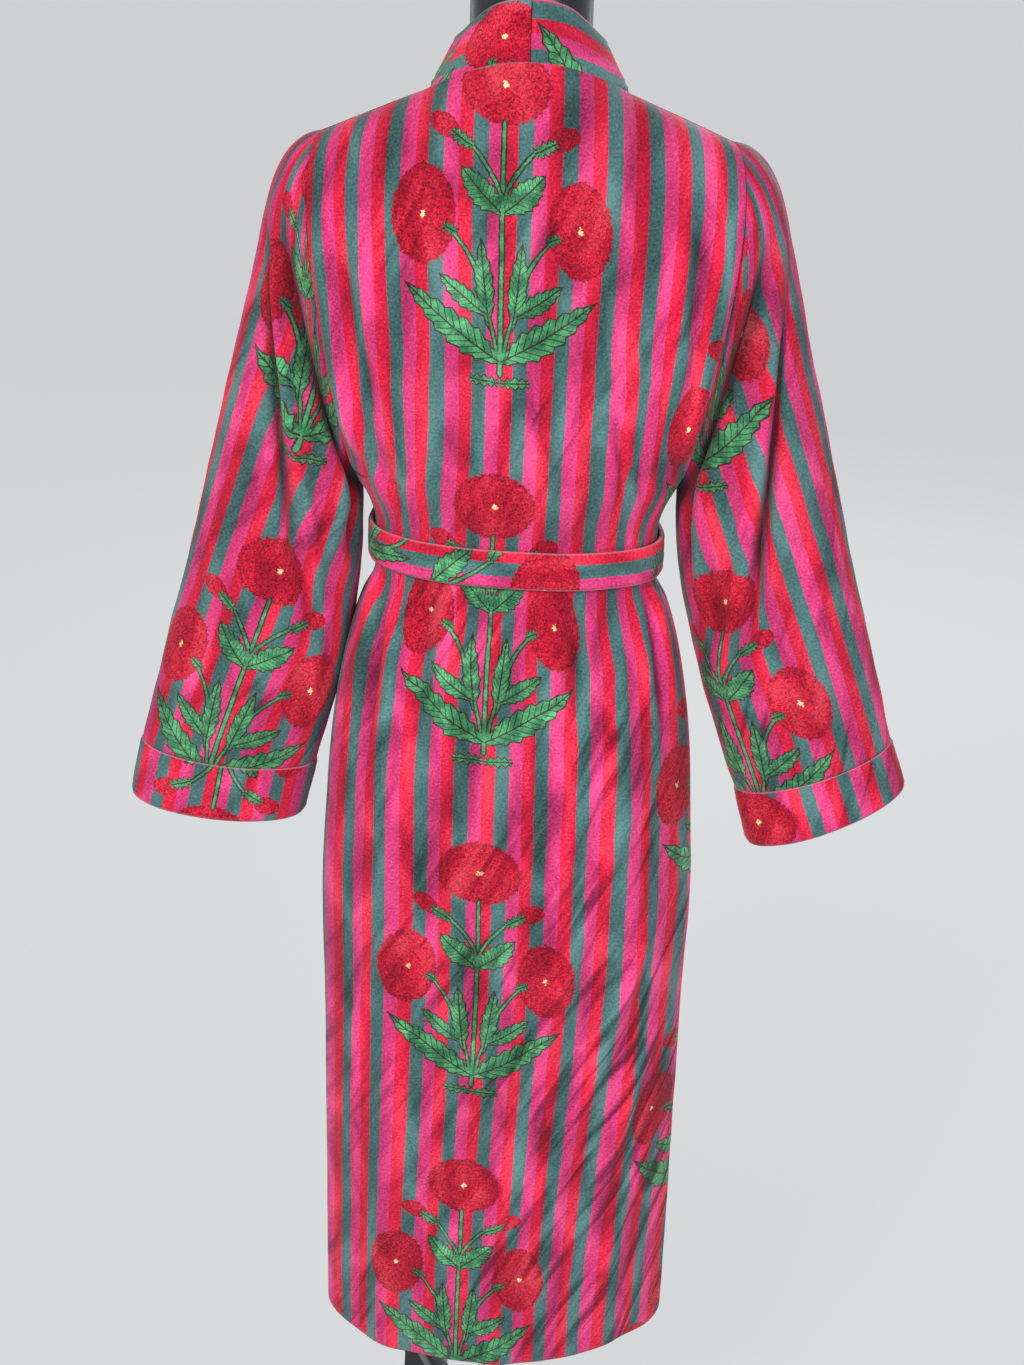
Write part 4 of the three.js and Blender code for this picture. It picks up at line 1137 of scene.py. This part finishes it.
def sleeve_ring(side, outer, inner, depth, bow, gap, columns):
    """Rings of a sleeve. outer and inner are rows of x and z."""
    chord = outer - inner
    middle = (outer + inner) / 2
    off = np.stack([chord[:, 1], -chord[:, 0]], -1)
    off = off / np.linalg.norm(off, axis=-1, keepdims=True)
    angle = math.pi + np.arange(columns) * 2 * math.pi / columns
    crown = bow[:, None] * np.abs(np.sin(angle)) * (1 + np.cos(angle))
    flat = (middle[:, None, :] + chord[:, None, :] * (np.cos(angle) / 2)[None, :, None]
            + off[:, None, :] * crown[..., None])
    y = depth[:, None] * np.sin(angle)[None, :]
    return np.stack([side * (flat[..., 0] + gap[:, None]), y, flat[..., 1]], -1)


def cap_at(t):
    """The rounding of a sleeve's head, by share of the length."""
    return SLEEVE_CAP * (1 - t) ** 1.2 * (1 - np.exp(-t / SLEEVE_CAP_RISE))


def sleeve_points(sleeve, t, columns):
    """Rings of a sleeve from the armhole to the cuff's seam, with its rounded head and tucked inside."""
    outer_end, inner_end = (np.array(p, float) for p in sleeve["seam"])
    tip = np.array([SHOULDER_TIP_X, SHOULDER_TIP_Z], float)
    under = np.array([UNDERARM_X, UNDERARM_Z], float)
    outer = tip + (outer_end - tip) * t[:, None]
    inner = under + (inner_end - under) * t[:, None]
    cap = cap_at(t)
    slant = math.atan2(outer_end[0] - tip[0], tip[1] - outer_end[1])
    outer += cap[:, None] * np.array([math.cos(slant), math.sin(slant)])
    inner[:, 0] -= SLEEVE_TUCK * np.sin(math.pi * t**0.8)
    depth = mix(ARMHOLE_DEPTH, SLEEVE_DEPTH, t**0.8)
    return sleeve_ring(sleeve["side"], outer, inner, depth, ARMHOLE_BOW * (1 - t) ** 2,
                       1.5 * SEAM * (1 - t), columns)


def around_print(sleeve, points, cap):
    """Print coordinates round a sleeve: across from its straight outer line, and up along its axis.
    A ring starts at the inner edge, where the sleeve's own seam is."""
    side = sleeve["side"]
    outer_end, inner_end = (np.array(p, float) for p in sleeve["seam"])
    top = np.array([(SHOULDER_TIP_X + UNDERARM_X) / 2, (SHOULDER_TIP_Z + UNDERARM_Z) / 2])
    down = (outer_end + inner_end) / 2 - top
    down = down / np.linalg.norm(down)
    out = np.array([-down[1], down[0]])
    ring = closed(points)
    flat = pair(ring[..., 0] * side, ring[..., 2])
    wide = flat @ out
    step = np.hypot(np.diff(wide, axis=1), np.diff(ring[..., 1], axis=1))
    way = np.concatenate([np.zeros((len(points), 1)), np.cumsum(step, 1)], 1)
    way = way - way[:, points.shape[1] // 2, None]
    plant = np.array(sleeve["plant"], float)
    return way, sleeve["outer_print"] + side * (way - HEAD_EASE * cap[:, None]), -(flat - plant) @ down


def hidden_in_fold(fold, columns, t):
    """The print skips the cloth in the fold, from the fold to the sleeve's seam."""
    turn = -180 + np.arange(columns + 1) * 360 / columns
    line = np.interp(t, fold["shares"], fold["directions"])[:, None]
    soft = mix(24, 6, ramp(t, 0, 0.14))[:, None]
    lasts = 1 - ramp(t, 0.42, 0.66)
    return fold["hides"] * ramp((turn[None, :] - line) / soft, -1, 1) * lasts[:, None]


def make_sleeve(name):
    """A sleeve with its long fold, its creases and the valley behind the armhole."""
    sleeve = SLEEVES[name]
    side = sleeve["side"]
    rows, columns = ((120, 104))
    t = np.linspace(0, 1, rows) ** 1.25
    points = sleeve_points(sleeve, t, columns)
    _, print_x, print_y = around_print(sleeve, points, cap_at(t))
    degrees = 180 + np.arange(columns) * 360 / columns
    turn, share = np.meshgrid(degrees, t)
    height = np.zeros_like(turn)
    for wrap in (0, 360):
        placed = [tuple((a * CREASE_TURN_SCALE, b * CREASE_LENGTH_SCALE) for a, b in row[:3]) + row[3:]
                  for row in SLEEVE_CREASES[name]]
        height += crease_height(placed, (turn - wrap) * CREASE_TURN_SCALE, share * CREASE_LENGTH_SCALE)
    height += 1.1 * undulation(points[..., 0] * 1.2, points[..., 2] * 0.4, 58, 7 + side)
    height += 0.6 * undulation(points[..., 1] * 1.4, points[..., 2] * 0.7, 30, 9 + side)
    # A valley where the sleeve's head is tucked in along the back of the armhole.
    behind = ramp(turn % 360, 35, 80) * (1 - ramp(turn % 360, 150, 185))
    height -= ARMHOLE_VALLEY * behind * bell(share, 0.05, 0.04)
    keep = ramp(share, 0, 0.05) * (1 - ramp(share, 0.965, 1))
    height = height * keep - SEAM_DIP * (bell(share, 0, 0.008) + bell(share, 1, 0.008))
    points = raised(points, height, side, ring=True)
    print_x = print_x + side * hidden_in_fold(SLEEVE_FOLDS[name], columns, t)
    maps = {"print": pair(print_x, print_y), "fold": pair(closed(height), 0)}
    return cloth_shell("robe_sleeve_" + name, points, maps, CLOTH, side, velvet_panel, ring=True)


def make_cuff(name):
    """The band at a sleeve's end, its print laid across the sleeve's."""
    sleeve = SLEEVES[name]
    side = sleeve["side"]
    rows, columns = ((15, 104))
    t = mix(SEAM / 50, 1, np.linspace(0, 1, rows))[:, None]
    seam, edge = (np.array(sleeve[k], float) for k in ("seam", "edge"))
    outer = mix(seam[0], edge[0], t)
    inner = mix(seam[1], edge[1], t)
    flat = np.zeros(rows)
    points = sleeve_ring(side, outer, inner, flat + SLEEVE_DEPTH, flat, flat, columns)
    way_round, _, _ = around_print(sleeve, points, flat)
    down = np.linspace(0, CUFF_WIDTH, rows)[:, None]
    inset = np.minimum(down, CUFF_WIDTH - down)
    turn = np.arange(columns) * 2 * math.pi / columns
    height = 0.7 * undulation(turn * 40 + down * 0.2, down, 40, 3 + side) + band_edge(inset, 1.2, 0.6)
    points = raised(points, height, side, ring=True)
    lay = CUFF_PRINT[name]
    place = pair(lay["outer"] + lay["way"] * way_round * side, lay["seam"] - lay["way"] * down)
    maps = {"print": place, "trim": pair(inset, np.abs(down - STITCH_INSET))}
    return cloth_shell("robe_cuff_" + name, points, maps, BAND, side, velvet_band, ring=True)


# The belt, its knot and its ends.
def lap_under(x):
    """How far the wrapped fronts push the belt out."""
    return LAP * (1 - ramp(x, LAP_FULL_X, LAP_START_X)) * ramp(x, *LAP_END_X)


def belt_ring(angle, z, out):
    """Points of the belt, which lies on the body's two sides and stands off by out."""
    def at(a):
        return np.where((np.sin(a) < 0)[..., None], body_points(-1, np.cos(a), level_of(z)),
                        body_points(1, np.cos(a), level_of(z)))

    points = at(angle)
    along = at(angle + 0.02) - at(angle - 0.02)
    normal = np.stack([along[..., 1], -along[..., 0], 0 * angle], -1)
    normal /= np.linalg.norm(normal, axis=-1, keepdims=True)
    points[..., 1] -= np.where(np.sin(angle) < 0, lap_under(points[..., 0]), 0)
    return points + normal * out


def make_belt():
    """The belt round the waist, open behind the knot, and its length."""
    rows, columns = ((13, 260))
    angles = np.linspace(-math.pi / 2 + BELT_GAP, 1.5 * math.pi - BELT_GAP, columns)
    share = np.linspace(0, 1, rows)
    angle, down = np.meshgrid(angles, share)
    points = belt_ring(angle, BELT_TOP_Z - BELT_HEIGHT * down, BELT_CLEARANCE + BELT_THICKNESS)
    points[..., 2] += BELT_TILT * points[..., 0]
    run = length_along(points[rows // 2])
    flower = np.argmin(np.abs(points[rows // 2, :, 0] - BELT_FLOWER_X) + 1e3 * (points[rows // 2, :, 1] < 0))
    inset = np.minimum(down, 1 - down) * BELT_HEIGHT
    height = 0.8 * undulation(run, down * BELT_HEIGHT, 48, 6) * np.sin(math.pi * down)
    points = raised(points, height + band_edge(inset, 1.4, 0.5), 1)
    maps = {"print": pair(BELT_PRINT_TOP + BELT_HEIGHT * down, run - run[flower] + PLANT_TOP),
            "trim": pair(inset, np.abs(BELT_HEIGHT * (1 - down) - STITCH_INSET))}
    return cloth_shell("robe_belt", points, maps, BELT_THICKNESS, 1, velvet_band), run[-1]


def make_knot():
    """The knot: a squared ball, wrapped once by the belt, with the wrap's edges and creases."""
    rows, columns = ((56, 72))
    tilt = np.linspace(-math.pi / 2, math.pi / 2, rows)
    turn = np.arange(columns) * 2 * math.pi / columns
    around, up = np.meshgrid(turn, tilt)

    def squared(value, power=0.65):
        return np.sign(value) * np.abs(value) ** power

    x = squared(np.cos(up) * np.cos(around))
    y = squared(np.cos(up) * np.sin(around))
    z = squared(np.sin(up))
    front = float(section(np.array(KNOT["z"]), FRONT)) + LAP + SEAM / 2 + BELT_CLEARANCE + BELT_THICKNESS
    wrap = 1 - 0.13 * bell(np.abs(x), 0.62, 0.1) - 0.05 * np.cos(z * 7 + x * 3)
    points = np.stack([
        KNOT["x"] + KNOT["width"] / 2 * x * wrap,
        -front - SEAM - KNOT["depth"] / 2 * (1 + y * wrap),
        KNOT["z"] + KNOT["height"] / 2 * z * wrap,
    ], -1)
    ring = closed(points)
    maps = {"print": pair(ring[..., 2] - KNOT["z"] + 10, ring[..., 0] + 330), "trim": pair(NO_TRIM, NO_TRIM)}
    knot = cloth_shell("robe_belt_knot", points, maps, 1, 1, velvet_band, ring=True)
    knot.modifiers.clear()
    return knot


def make_belt_end(name):
    """A free end of the belt, which hangs on the front and follows its creases."""
    top, bottom, length, print_start = BELT_ENDS[name]
    rows, columns = ((90, 11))
    t = np.linspace(0, 1, rows)[:, None]
    across = np.linspace(-1, 1, columns)[None, :]
    z = KNOT["z"] - KNOT["height"] / 2 - SEAM - length * t
    half = mix(KNOT_MOUTH_HALF, BELT_END_HALF, ramp(t, 0, 0.12))
    x = mix(top, bottom, ramp(t, 0, 0.3)) + across * half
    level = level_of(z)
    points = front_points(1, LAP, across_at(x, level), level)
    points[..., 0] = x
    points[..., 1] -= BELT_CLEARANCE + BAND + 8 * (1 - ramp(t, 0, 0.15))
    crease = body_crease(-1, points)
    points[..., 1] -= np.maximum(crease, -1) * ramp(t, 0.05, 0.2)
    inset = (1 - np.abs(across)) * BELT_END_HALF
    height = 1.1 * undulation(t * length, across * 18, 70, 8 + len(name)) * ramp(t, 0, 0.1)
    points = raised(points, np.maximum(height, -0.6) + band_edge(inset, 1.2, 0), 1)
    over = BELT_PRINT_TOP + BELT_HEIGHT / 2 * (1 + across)
    maps = {"print": pair(over, print_start + length * t),
            "trim": pair(inset, np.abs(inset - STITCH_INSET))}
    return cloth_shell("robe_belt_end_" + name, points, maps, BAND, 1, velvet_band)


def make_robe():
    """All the cloth. Each piece hides the solid that it replaces."""
    back = make_back()
    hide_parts("back")
    for name in FRONTS:
        front = make_front(name)
        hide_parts("front_" + name)
        collar = make_collar(name)
        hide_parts("collar_" + name)
    for name in SLEEVES:
        sleeve = make_sleeve(name)
        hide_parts("sleeve_" + name)
        cuff = make_cuff(name)
        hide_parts("cuff_" + name)
    belt, girth = make_belt()
    knot = make_knot()
    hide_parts("belt")
    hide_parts("belt_knot")
    for name, (_, _, length, _) in BELT_ENDS.items():
        end = make_belt_end(name)
        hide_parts("belt_end_" + name)


make_robe()


# The form and the stand.
def glossy_form():
    """A moulded glass-fibre torso in black gel coat: a smooth hard shell with a soft long ripple, dust
    in its gloss and fine rubbing."""
    material, tree, shader = new_material("black_gel_coat")
    place = add(tree, "TexCoord", out="Object")
    dust = add(tree, "TexNoise", {"Vector": place, "Scale": 60.0, "Detail": 5.0, "Roughness": 0.65})
    rubbed = add(tree, "MapRange", {0: dust, 1: 0.35, 2: 0.75, 3: 0.2, 4: 0.42})
    tone = add(tree, "TexNoise", {"Vector": place, "Scale": 9.0, "Detail": 3.0})
    tone = blend_colour(tree, tone, srgb("#101113"), srgb("#26282B"))
    ripple = add(tree, "TexNoise", {"Vector": place, "Scale": 22.0, "Detail": 1.0})
    bump = add(tree, "Bump", {"Height": ripple, "Strength": 0.15, "Distance": 0.001})
    fill(shader, {"Base Color": tone, "Roughness": rubbed, "Normal": bump, "Coat Weight": 0.5,
                  "Coat Roughness": 0.12})
    return material


def plated_steel():
    """Chromed steel tube: bright, with faint draw marks along it and a little haze."""
    material, tree, shader = new_material("chromed_steel")
    place = add(tree, "TexCoord", out="Object")
    drawn = add(tree, "Mapping", {"Vector": place, "Scale": (900, 900, 12)})
    drawn = add(tree, "TexNoise", {"Vector": drawn, "Scale": 1.0, "Detail": 2.0})
    haze = add(tree, "TexNoise", {"Vector": place, "Scale": 35.0, "Detail": 4.0})
    rough = add(tree, "MapRange", {0: haze, 1: 0.4, 2: 0.75, 3: 0.07, 4: 0.2})
    tint = blend_colour(tree, haze, srgb("#D9DCDF"), srgb("#B9BEC3"))
    bump = add(tree, "Bump", {"Height": drawn, "Strength": 0.05, "Distance": 0.0003})
    fill(shader, {"Base Color": tint, "Roughness": rough, "Normal": bump, "Metallic": 1.0})
    return material


def moulded(name, light, dark, rough_low, rough_high, grain_mm, depth, coat=0.0):
    """Enamel or moulded plastic: a fine even grain of about grain_mm, and slight wear in its gloss."""
    material, tree, shader = new_material(name)
    place = add(tree, "TexCoord", out="Object")
    wear = add(tree, "TexNoise", {"Vector": place, "Scale": 45.0, "Detail": 5.0, "Roughness": 0.6})
    tone = blend_colour(tree, wear, srgb(light), srgb(dark))
    rough = add(tree, "MapRange", {0: wear, 1: 0.35, 2: 0.7, 3: rough_low, 4: rough_high})
    grain = add(tree, "TexNoise", {"Vector": place, "Scale": 1 / (grain_mm * MM), "Detail": 2.0})
    bump = add(tree, "Bump", {"Height": grain, "Strength": 0.3, "Distance": depth * MM})
    fill(shader, {"Base Color": tone, "Roughness": rough, "Normal": bump, "Coat Weight": coat})
    return material


gel_coat = glossy_form()
chrome = plated_steel()
enamel = moulded("black_stove_enamel", "#1B1C1F", "#101113", 0.28, 0.45, 1.6, 0.12, 0.3)
nylon = moulded("black_moulded_nylon", "#1A1A1B", "#26272A", 0.42, 0.6, 1.1, 0.1)
grey_rubber = moulded("grey_tread_rubber", "#8D9094", "#74777B", 0.55, 0.75, 1.4, 0.15)
pale_plastic = moulded("pale_wheel_cover", "#D9D8D2", "#C4C3BC", 0.35, 0.5, 1.2, 0.08)


def tube_faces(rows, columns):
    """The faces between rings of points that lie one after the other."""
    return [[i * columns + j, i * columns + (j + 1) % columns, (i + 1) * columns + (j + 1) % columns,
             (i + 1) * columns + j] for i in range(rows) for j in range(columns)]


def make_form():
    """The torso and its neck, as one smooth shell."""
    low = level_of(FORM_BOTTOM_Z)
    levels = np.concatenate([[low], [v for v in body_levels(14) if v > low + 0.01]])
    us = np.sin(np.linspace(-math.pi / 2, math.pi / 2, 57))
    neck = np.linspace(-1, 1, 17) * NECK_U
    us = np.unique(np.round(np.concatenate([us[np.abs(us) > NECK_U + 0.02], neck]), 9))
    u, level = np.meshgrid(us, levels)
    back = body_points(1, u, level, FORM_EASE)
    front = body_points(-1, u, level, FORM_EASE)[:, ::-1][:, 1:-1]
    rings = (np.concatenate([back, front], 1) + (AXIS_X, 0, 0)) * MM
    rows, columns = rings.shape[:2]
    vertices = rings.reshape(-1, 3).tolist()
    faces = [face[::-1] for face in tube_faces(rows - 1, columns)]
    faces.append(list(range(columns)))

    # The neck rises from the points of the top ring that lie between the neck's two sides.
    at_top = (rows - 1) * columns
    of_neck = [k for k, v in enumerate(us) if abs(v) < NECK_U + 1e-6]
    behind = [at_top + k for k in of_neck]
    before_it = [at_top + 2 * len(us) - 2 - k for k in of_neck][::-1][1:-1]
    last = behind + before_it
    cosines = [us[k] / NECK_U for k in of_neck]
    circle = [(c, math.sqrt(max(0, 1 - c * c))) for c in cosines]
    circle += [(c, -math.sqrt(max(0, 1 - c * c))) for c in cosines[::-1][1:-1]]
    base = prior = [vertices[k] for k in last]
    count = len(base)
    for share, z in NECK_RISE:
        ring = []
        for (c, s), start, under in zip(circle, base, prior):
            x = mix(start[0], (AXIS_X + FORM_NECK_R * c) * MM, share)
            y = mix(start[1], FORM_NECK_R * s * MM, share)
            height = z * MM if z == FORM_TOP_Z else max(z * MM, under[2] + NECK_STEP * MM)
            ring.append([x, y, height])
        here = list(range(len(vertices), len(vertices) + count))
        vertices += ring
        faces += [[last[(j + 1) % count], last[j], here[j], here[(j + 1) % count]] for j in range(count)]
        prior, last = ring, here
    faces.append(last[::-1])
    form = new_piece("dress_form", vertices, faces, gel_coat)
    form.data.set_sharp_from_angle(angle=FORM_CORNER)
    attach(form, BODY)
    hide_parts("form_torso")


make_form()


def hard_piece(name, vertices, faces, material, body):
    """A closed piece, smooth but for its corners. Doubled points are joined and the faces turned out."""
    piece = new_piece(name, vertices, faces, material)
    work = bmesh.new()
    work.from_mesh(piece.data)
    bmesh.ops.remove_doubles(work, verts=work.verts, dist=1e-6)
    bmesh.ops.recalc_face_normals(work, faces=work.faces)
    work.to_mesh(piece.data)
    work.free()
    piece.data.shade_smooth()
    piece.data.set_sharp_from_angle(angle=CORNER)
    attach(piece, body)
    return piece


def lathe(name, outline, centre, material, body, axis="Z", steps=64):
    """A turned piece: outline is radius and height in mm from the axis out and back to it."""
    vertices = []
    for radius, height in outline:
        for k in range(steps):
            turn = 2 * math.pi * k / steps
            c, s = radius * math.cos(turn), radius * math.sin(turn)
            spot = {"Z": (c, s, height), "Y": (c, height, -s), "X": (height, c, s)}[axis]
            vertices.append([middle + v * MM for middle, v in zip(centre, spot)])
    return hard_piece(name, vertices, tube_faces(len(outline) - 1, steps), material, body)


def make_column():
    """The column with its height collar and top flange, and the hub."""
    axis = (AXIS_X * MM, 0, 0)
    top = FORM_BOTTOM_Z - SEAM
    pole = lathe("stand_column", [
        (0, HUB_TOP_Z + SEAM), (POLE_R - 0.4, HUB_TOP_Z + SEAM), (POLE_R, HUB_TOP_Z + SEAM + 0.4),
        (POLE_R, 430), (POLE_R + 2.4, 431), (POLE_R + 2.4, 462), (POLE_R, 463),
        (POLE_R, top - 10), (POLE_R + 3, top - 6.2), (FLANGE_R - 1, top - 6), (FLANGE_R, top - 5),
        (FLANGE_R, top - 0.6), (FLANGE_R - 0.6, top), (0, top)], axis, chrome, BODY)
    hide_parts("pole")
    hub = lathe("stand_hub", [
        (0, HUB_BOTTOM_Z), (HUB_R - 5, HUB_BOTTOM_Z), (HUB_R - 1.5, HUB_BOTTOM_Z + 1.5),
        (HUB_R, HUB_BOTTOM_Z + 5), (HUB_R, HUB_TOP_Z - 13), (HUB_R - 1, HUB_TOP_Z - 9),
        (HUB_R - 5, HUB_TOP_Z - 5), (POLE_R + 11, HUB_TOP_Z - 1.2), (POLE_R + 8, HUB_TOP_Z - 0.2),
        (POLE_R + 1, HUB_TOP_Z), (0, HUB_TOP_Z)], axis, enamel, BODY)
    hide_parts("base_hub")


def bend(a, b, c, t):
    """A smooth run from a to c that is drawn towards b."""
    return (1 - t) ** 2 * a + 2 * t * (1 - t) * b + t * t * c


def squared_off(value):
    return math.copysign(abs(value) ** LEG_SQUARE, value)


def make_leg(k):
    """A leg as rounded sections swept from the hub to the castor. Its underside gets level at the pad."""
    turn = math.radians(LEG_TURN + 90 * k)
    under = CASTOR_TOP_Z + SEAM
    start = HUB_R + SEAM
    vertices = []
    for i in range(LEG_ROWS + 1):
        t = i / LEG_ROWS
        reach = mix(start, LEG_END, t)
        to_pad = min(1, (reach - start) / (LEG_PAD - start))
        low = bend(HUB_BOTTOM_Z + 5, HUB_BOTTOM_Z + 4, under, to_pad)
        high = bend(HUB_TOP_Z - 10, HUB_TOP_Z - 8, under + LEG_END_HEIGHT, t)
        half = LEG_WIDTH / 2 * (1 - LEG_TAPER * t)
        for j in range(LEG_ROUND):
            a = 2 * math.pi * (j + 0.5) / LEG_ROUND
            across = half * squared_off(math.cos(a))
            up = (high + low) / 2 + (high - low) / 2 * squared_off(math.sin(a))
            x = reach * math.cos(turn) - across * math.sin(turn) + AXIS_X
            y = reach * math.sin(turn) + across * math.cos(turn)
            vertices.append([x * MM, y * MM, up * MM])
    faces = tube_faces(LEG_ROWS, LEG_ROUND)
    faces.append(list(range(LEG_ROUND)))
    faces.append(list(range(LEG_ROWS * LEG_ROUND, (LEG_ROWS + 1) * LEG_ROUND)))
    leg = hard_piece("stand_leg_%d" % (k + 1), vertices, faces, enamel, BODY)
    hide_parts("leg_%d" % (k + 1))


def make_castor(k):
    """The castor's hood keeps its solid's shape with softened edges, and gets an axle and a wheel."""
    number = str(k + 1)
    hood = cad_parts["castor_" + number]
    hood.data.materials.clear()
    hood.data.materials.append(nylon)
    soft = hood.modifiers.new("moulded_edge", "BEVEL")
    soft.width = 1.1 * MM
    soft.segments = 3
    soft.limit_method = "ANGLE"
    soft.harden_normals = True
    low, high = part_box("wheel_" + number)
    centre = tuple((low[i] + high[i]) / 2 for i in range(3))
    axis = "Y" if k % 2 == 0 else "X"
    half = WHEEL_WIDTH / 2
    roller = "roller_" + number
    shoulder = WHEEL_R - 0.8
    tyre = [(TYRE_INNER_R, -half + 0.6), (TYRE_FLAT_R, -half), (shoulder, -half + 0.8), (WHEEL_R, -half + 3),
            (WHEEL_R, half - 3), (shoulder, half - 0.8), (TYRE_FLAT_R, half), (TYRE_INNER_R, half - 0.6),
            (TYRE_INNER_R, -half + 0.6)]
    wheel = lathe("castor_tyre_" + number, tyre, centre, grey_rubber, roller, axis)
    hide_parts("wheel_" + number)
    for sign in (-1, 1):
        face = sign * (half - 0.5)
        ring = [(RING_INNER_R, face - sign * 2.2), (RING_OUTER_R, face - sign * 3),
                (RING_OUTER_R, face - sign * 0.3), (RING_OUTER_R - 0.8, face), (RING_INNER_R + 0.8, face),
                (RING_INNER_R, face - sign * 0.8), (RING_INNER_R, face - sign * 2.2)]
        title = "castor_ring_%s_%s" % (number, "a" if sign < 0 else "b")
        cover = lathe(title, ring, centre, pale_plastic, roller, axis)
    core_r, core_half = RING_INNER_R - 0.1, half - 1.2
    core = [(0, -core_half), (core_r, -core_half), (core_r, core_half), (0, core_half)]
    hub = lathe("castor_core_" + number, core, centre, nylon, roller, axis)


make_column()
for corner in range(4):
    make_leg(corner)
    make_castor(corner)
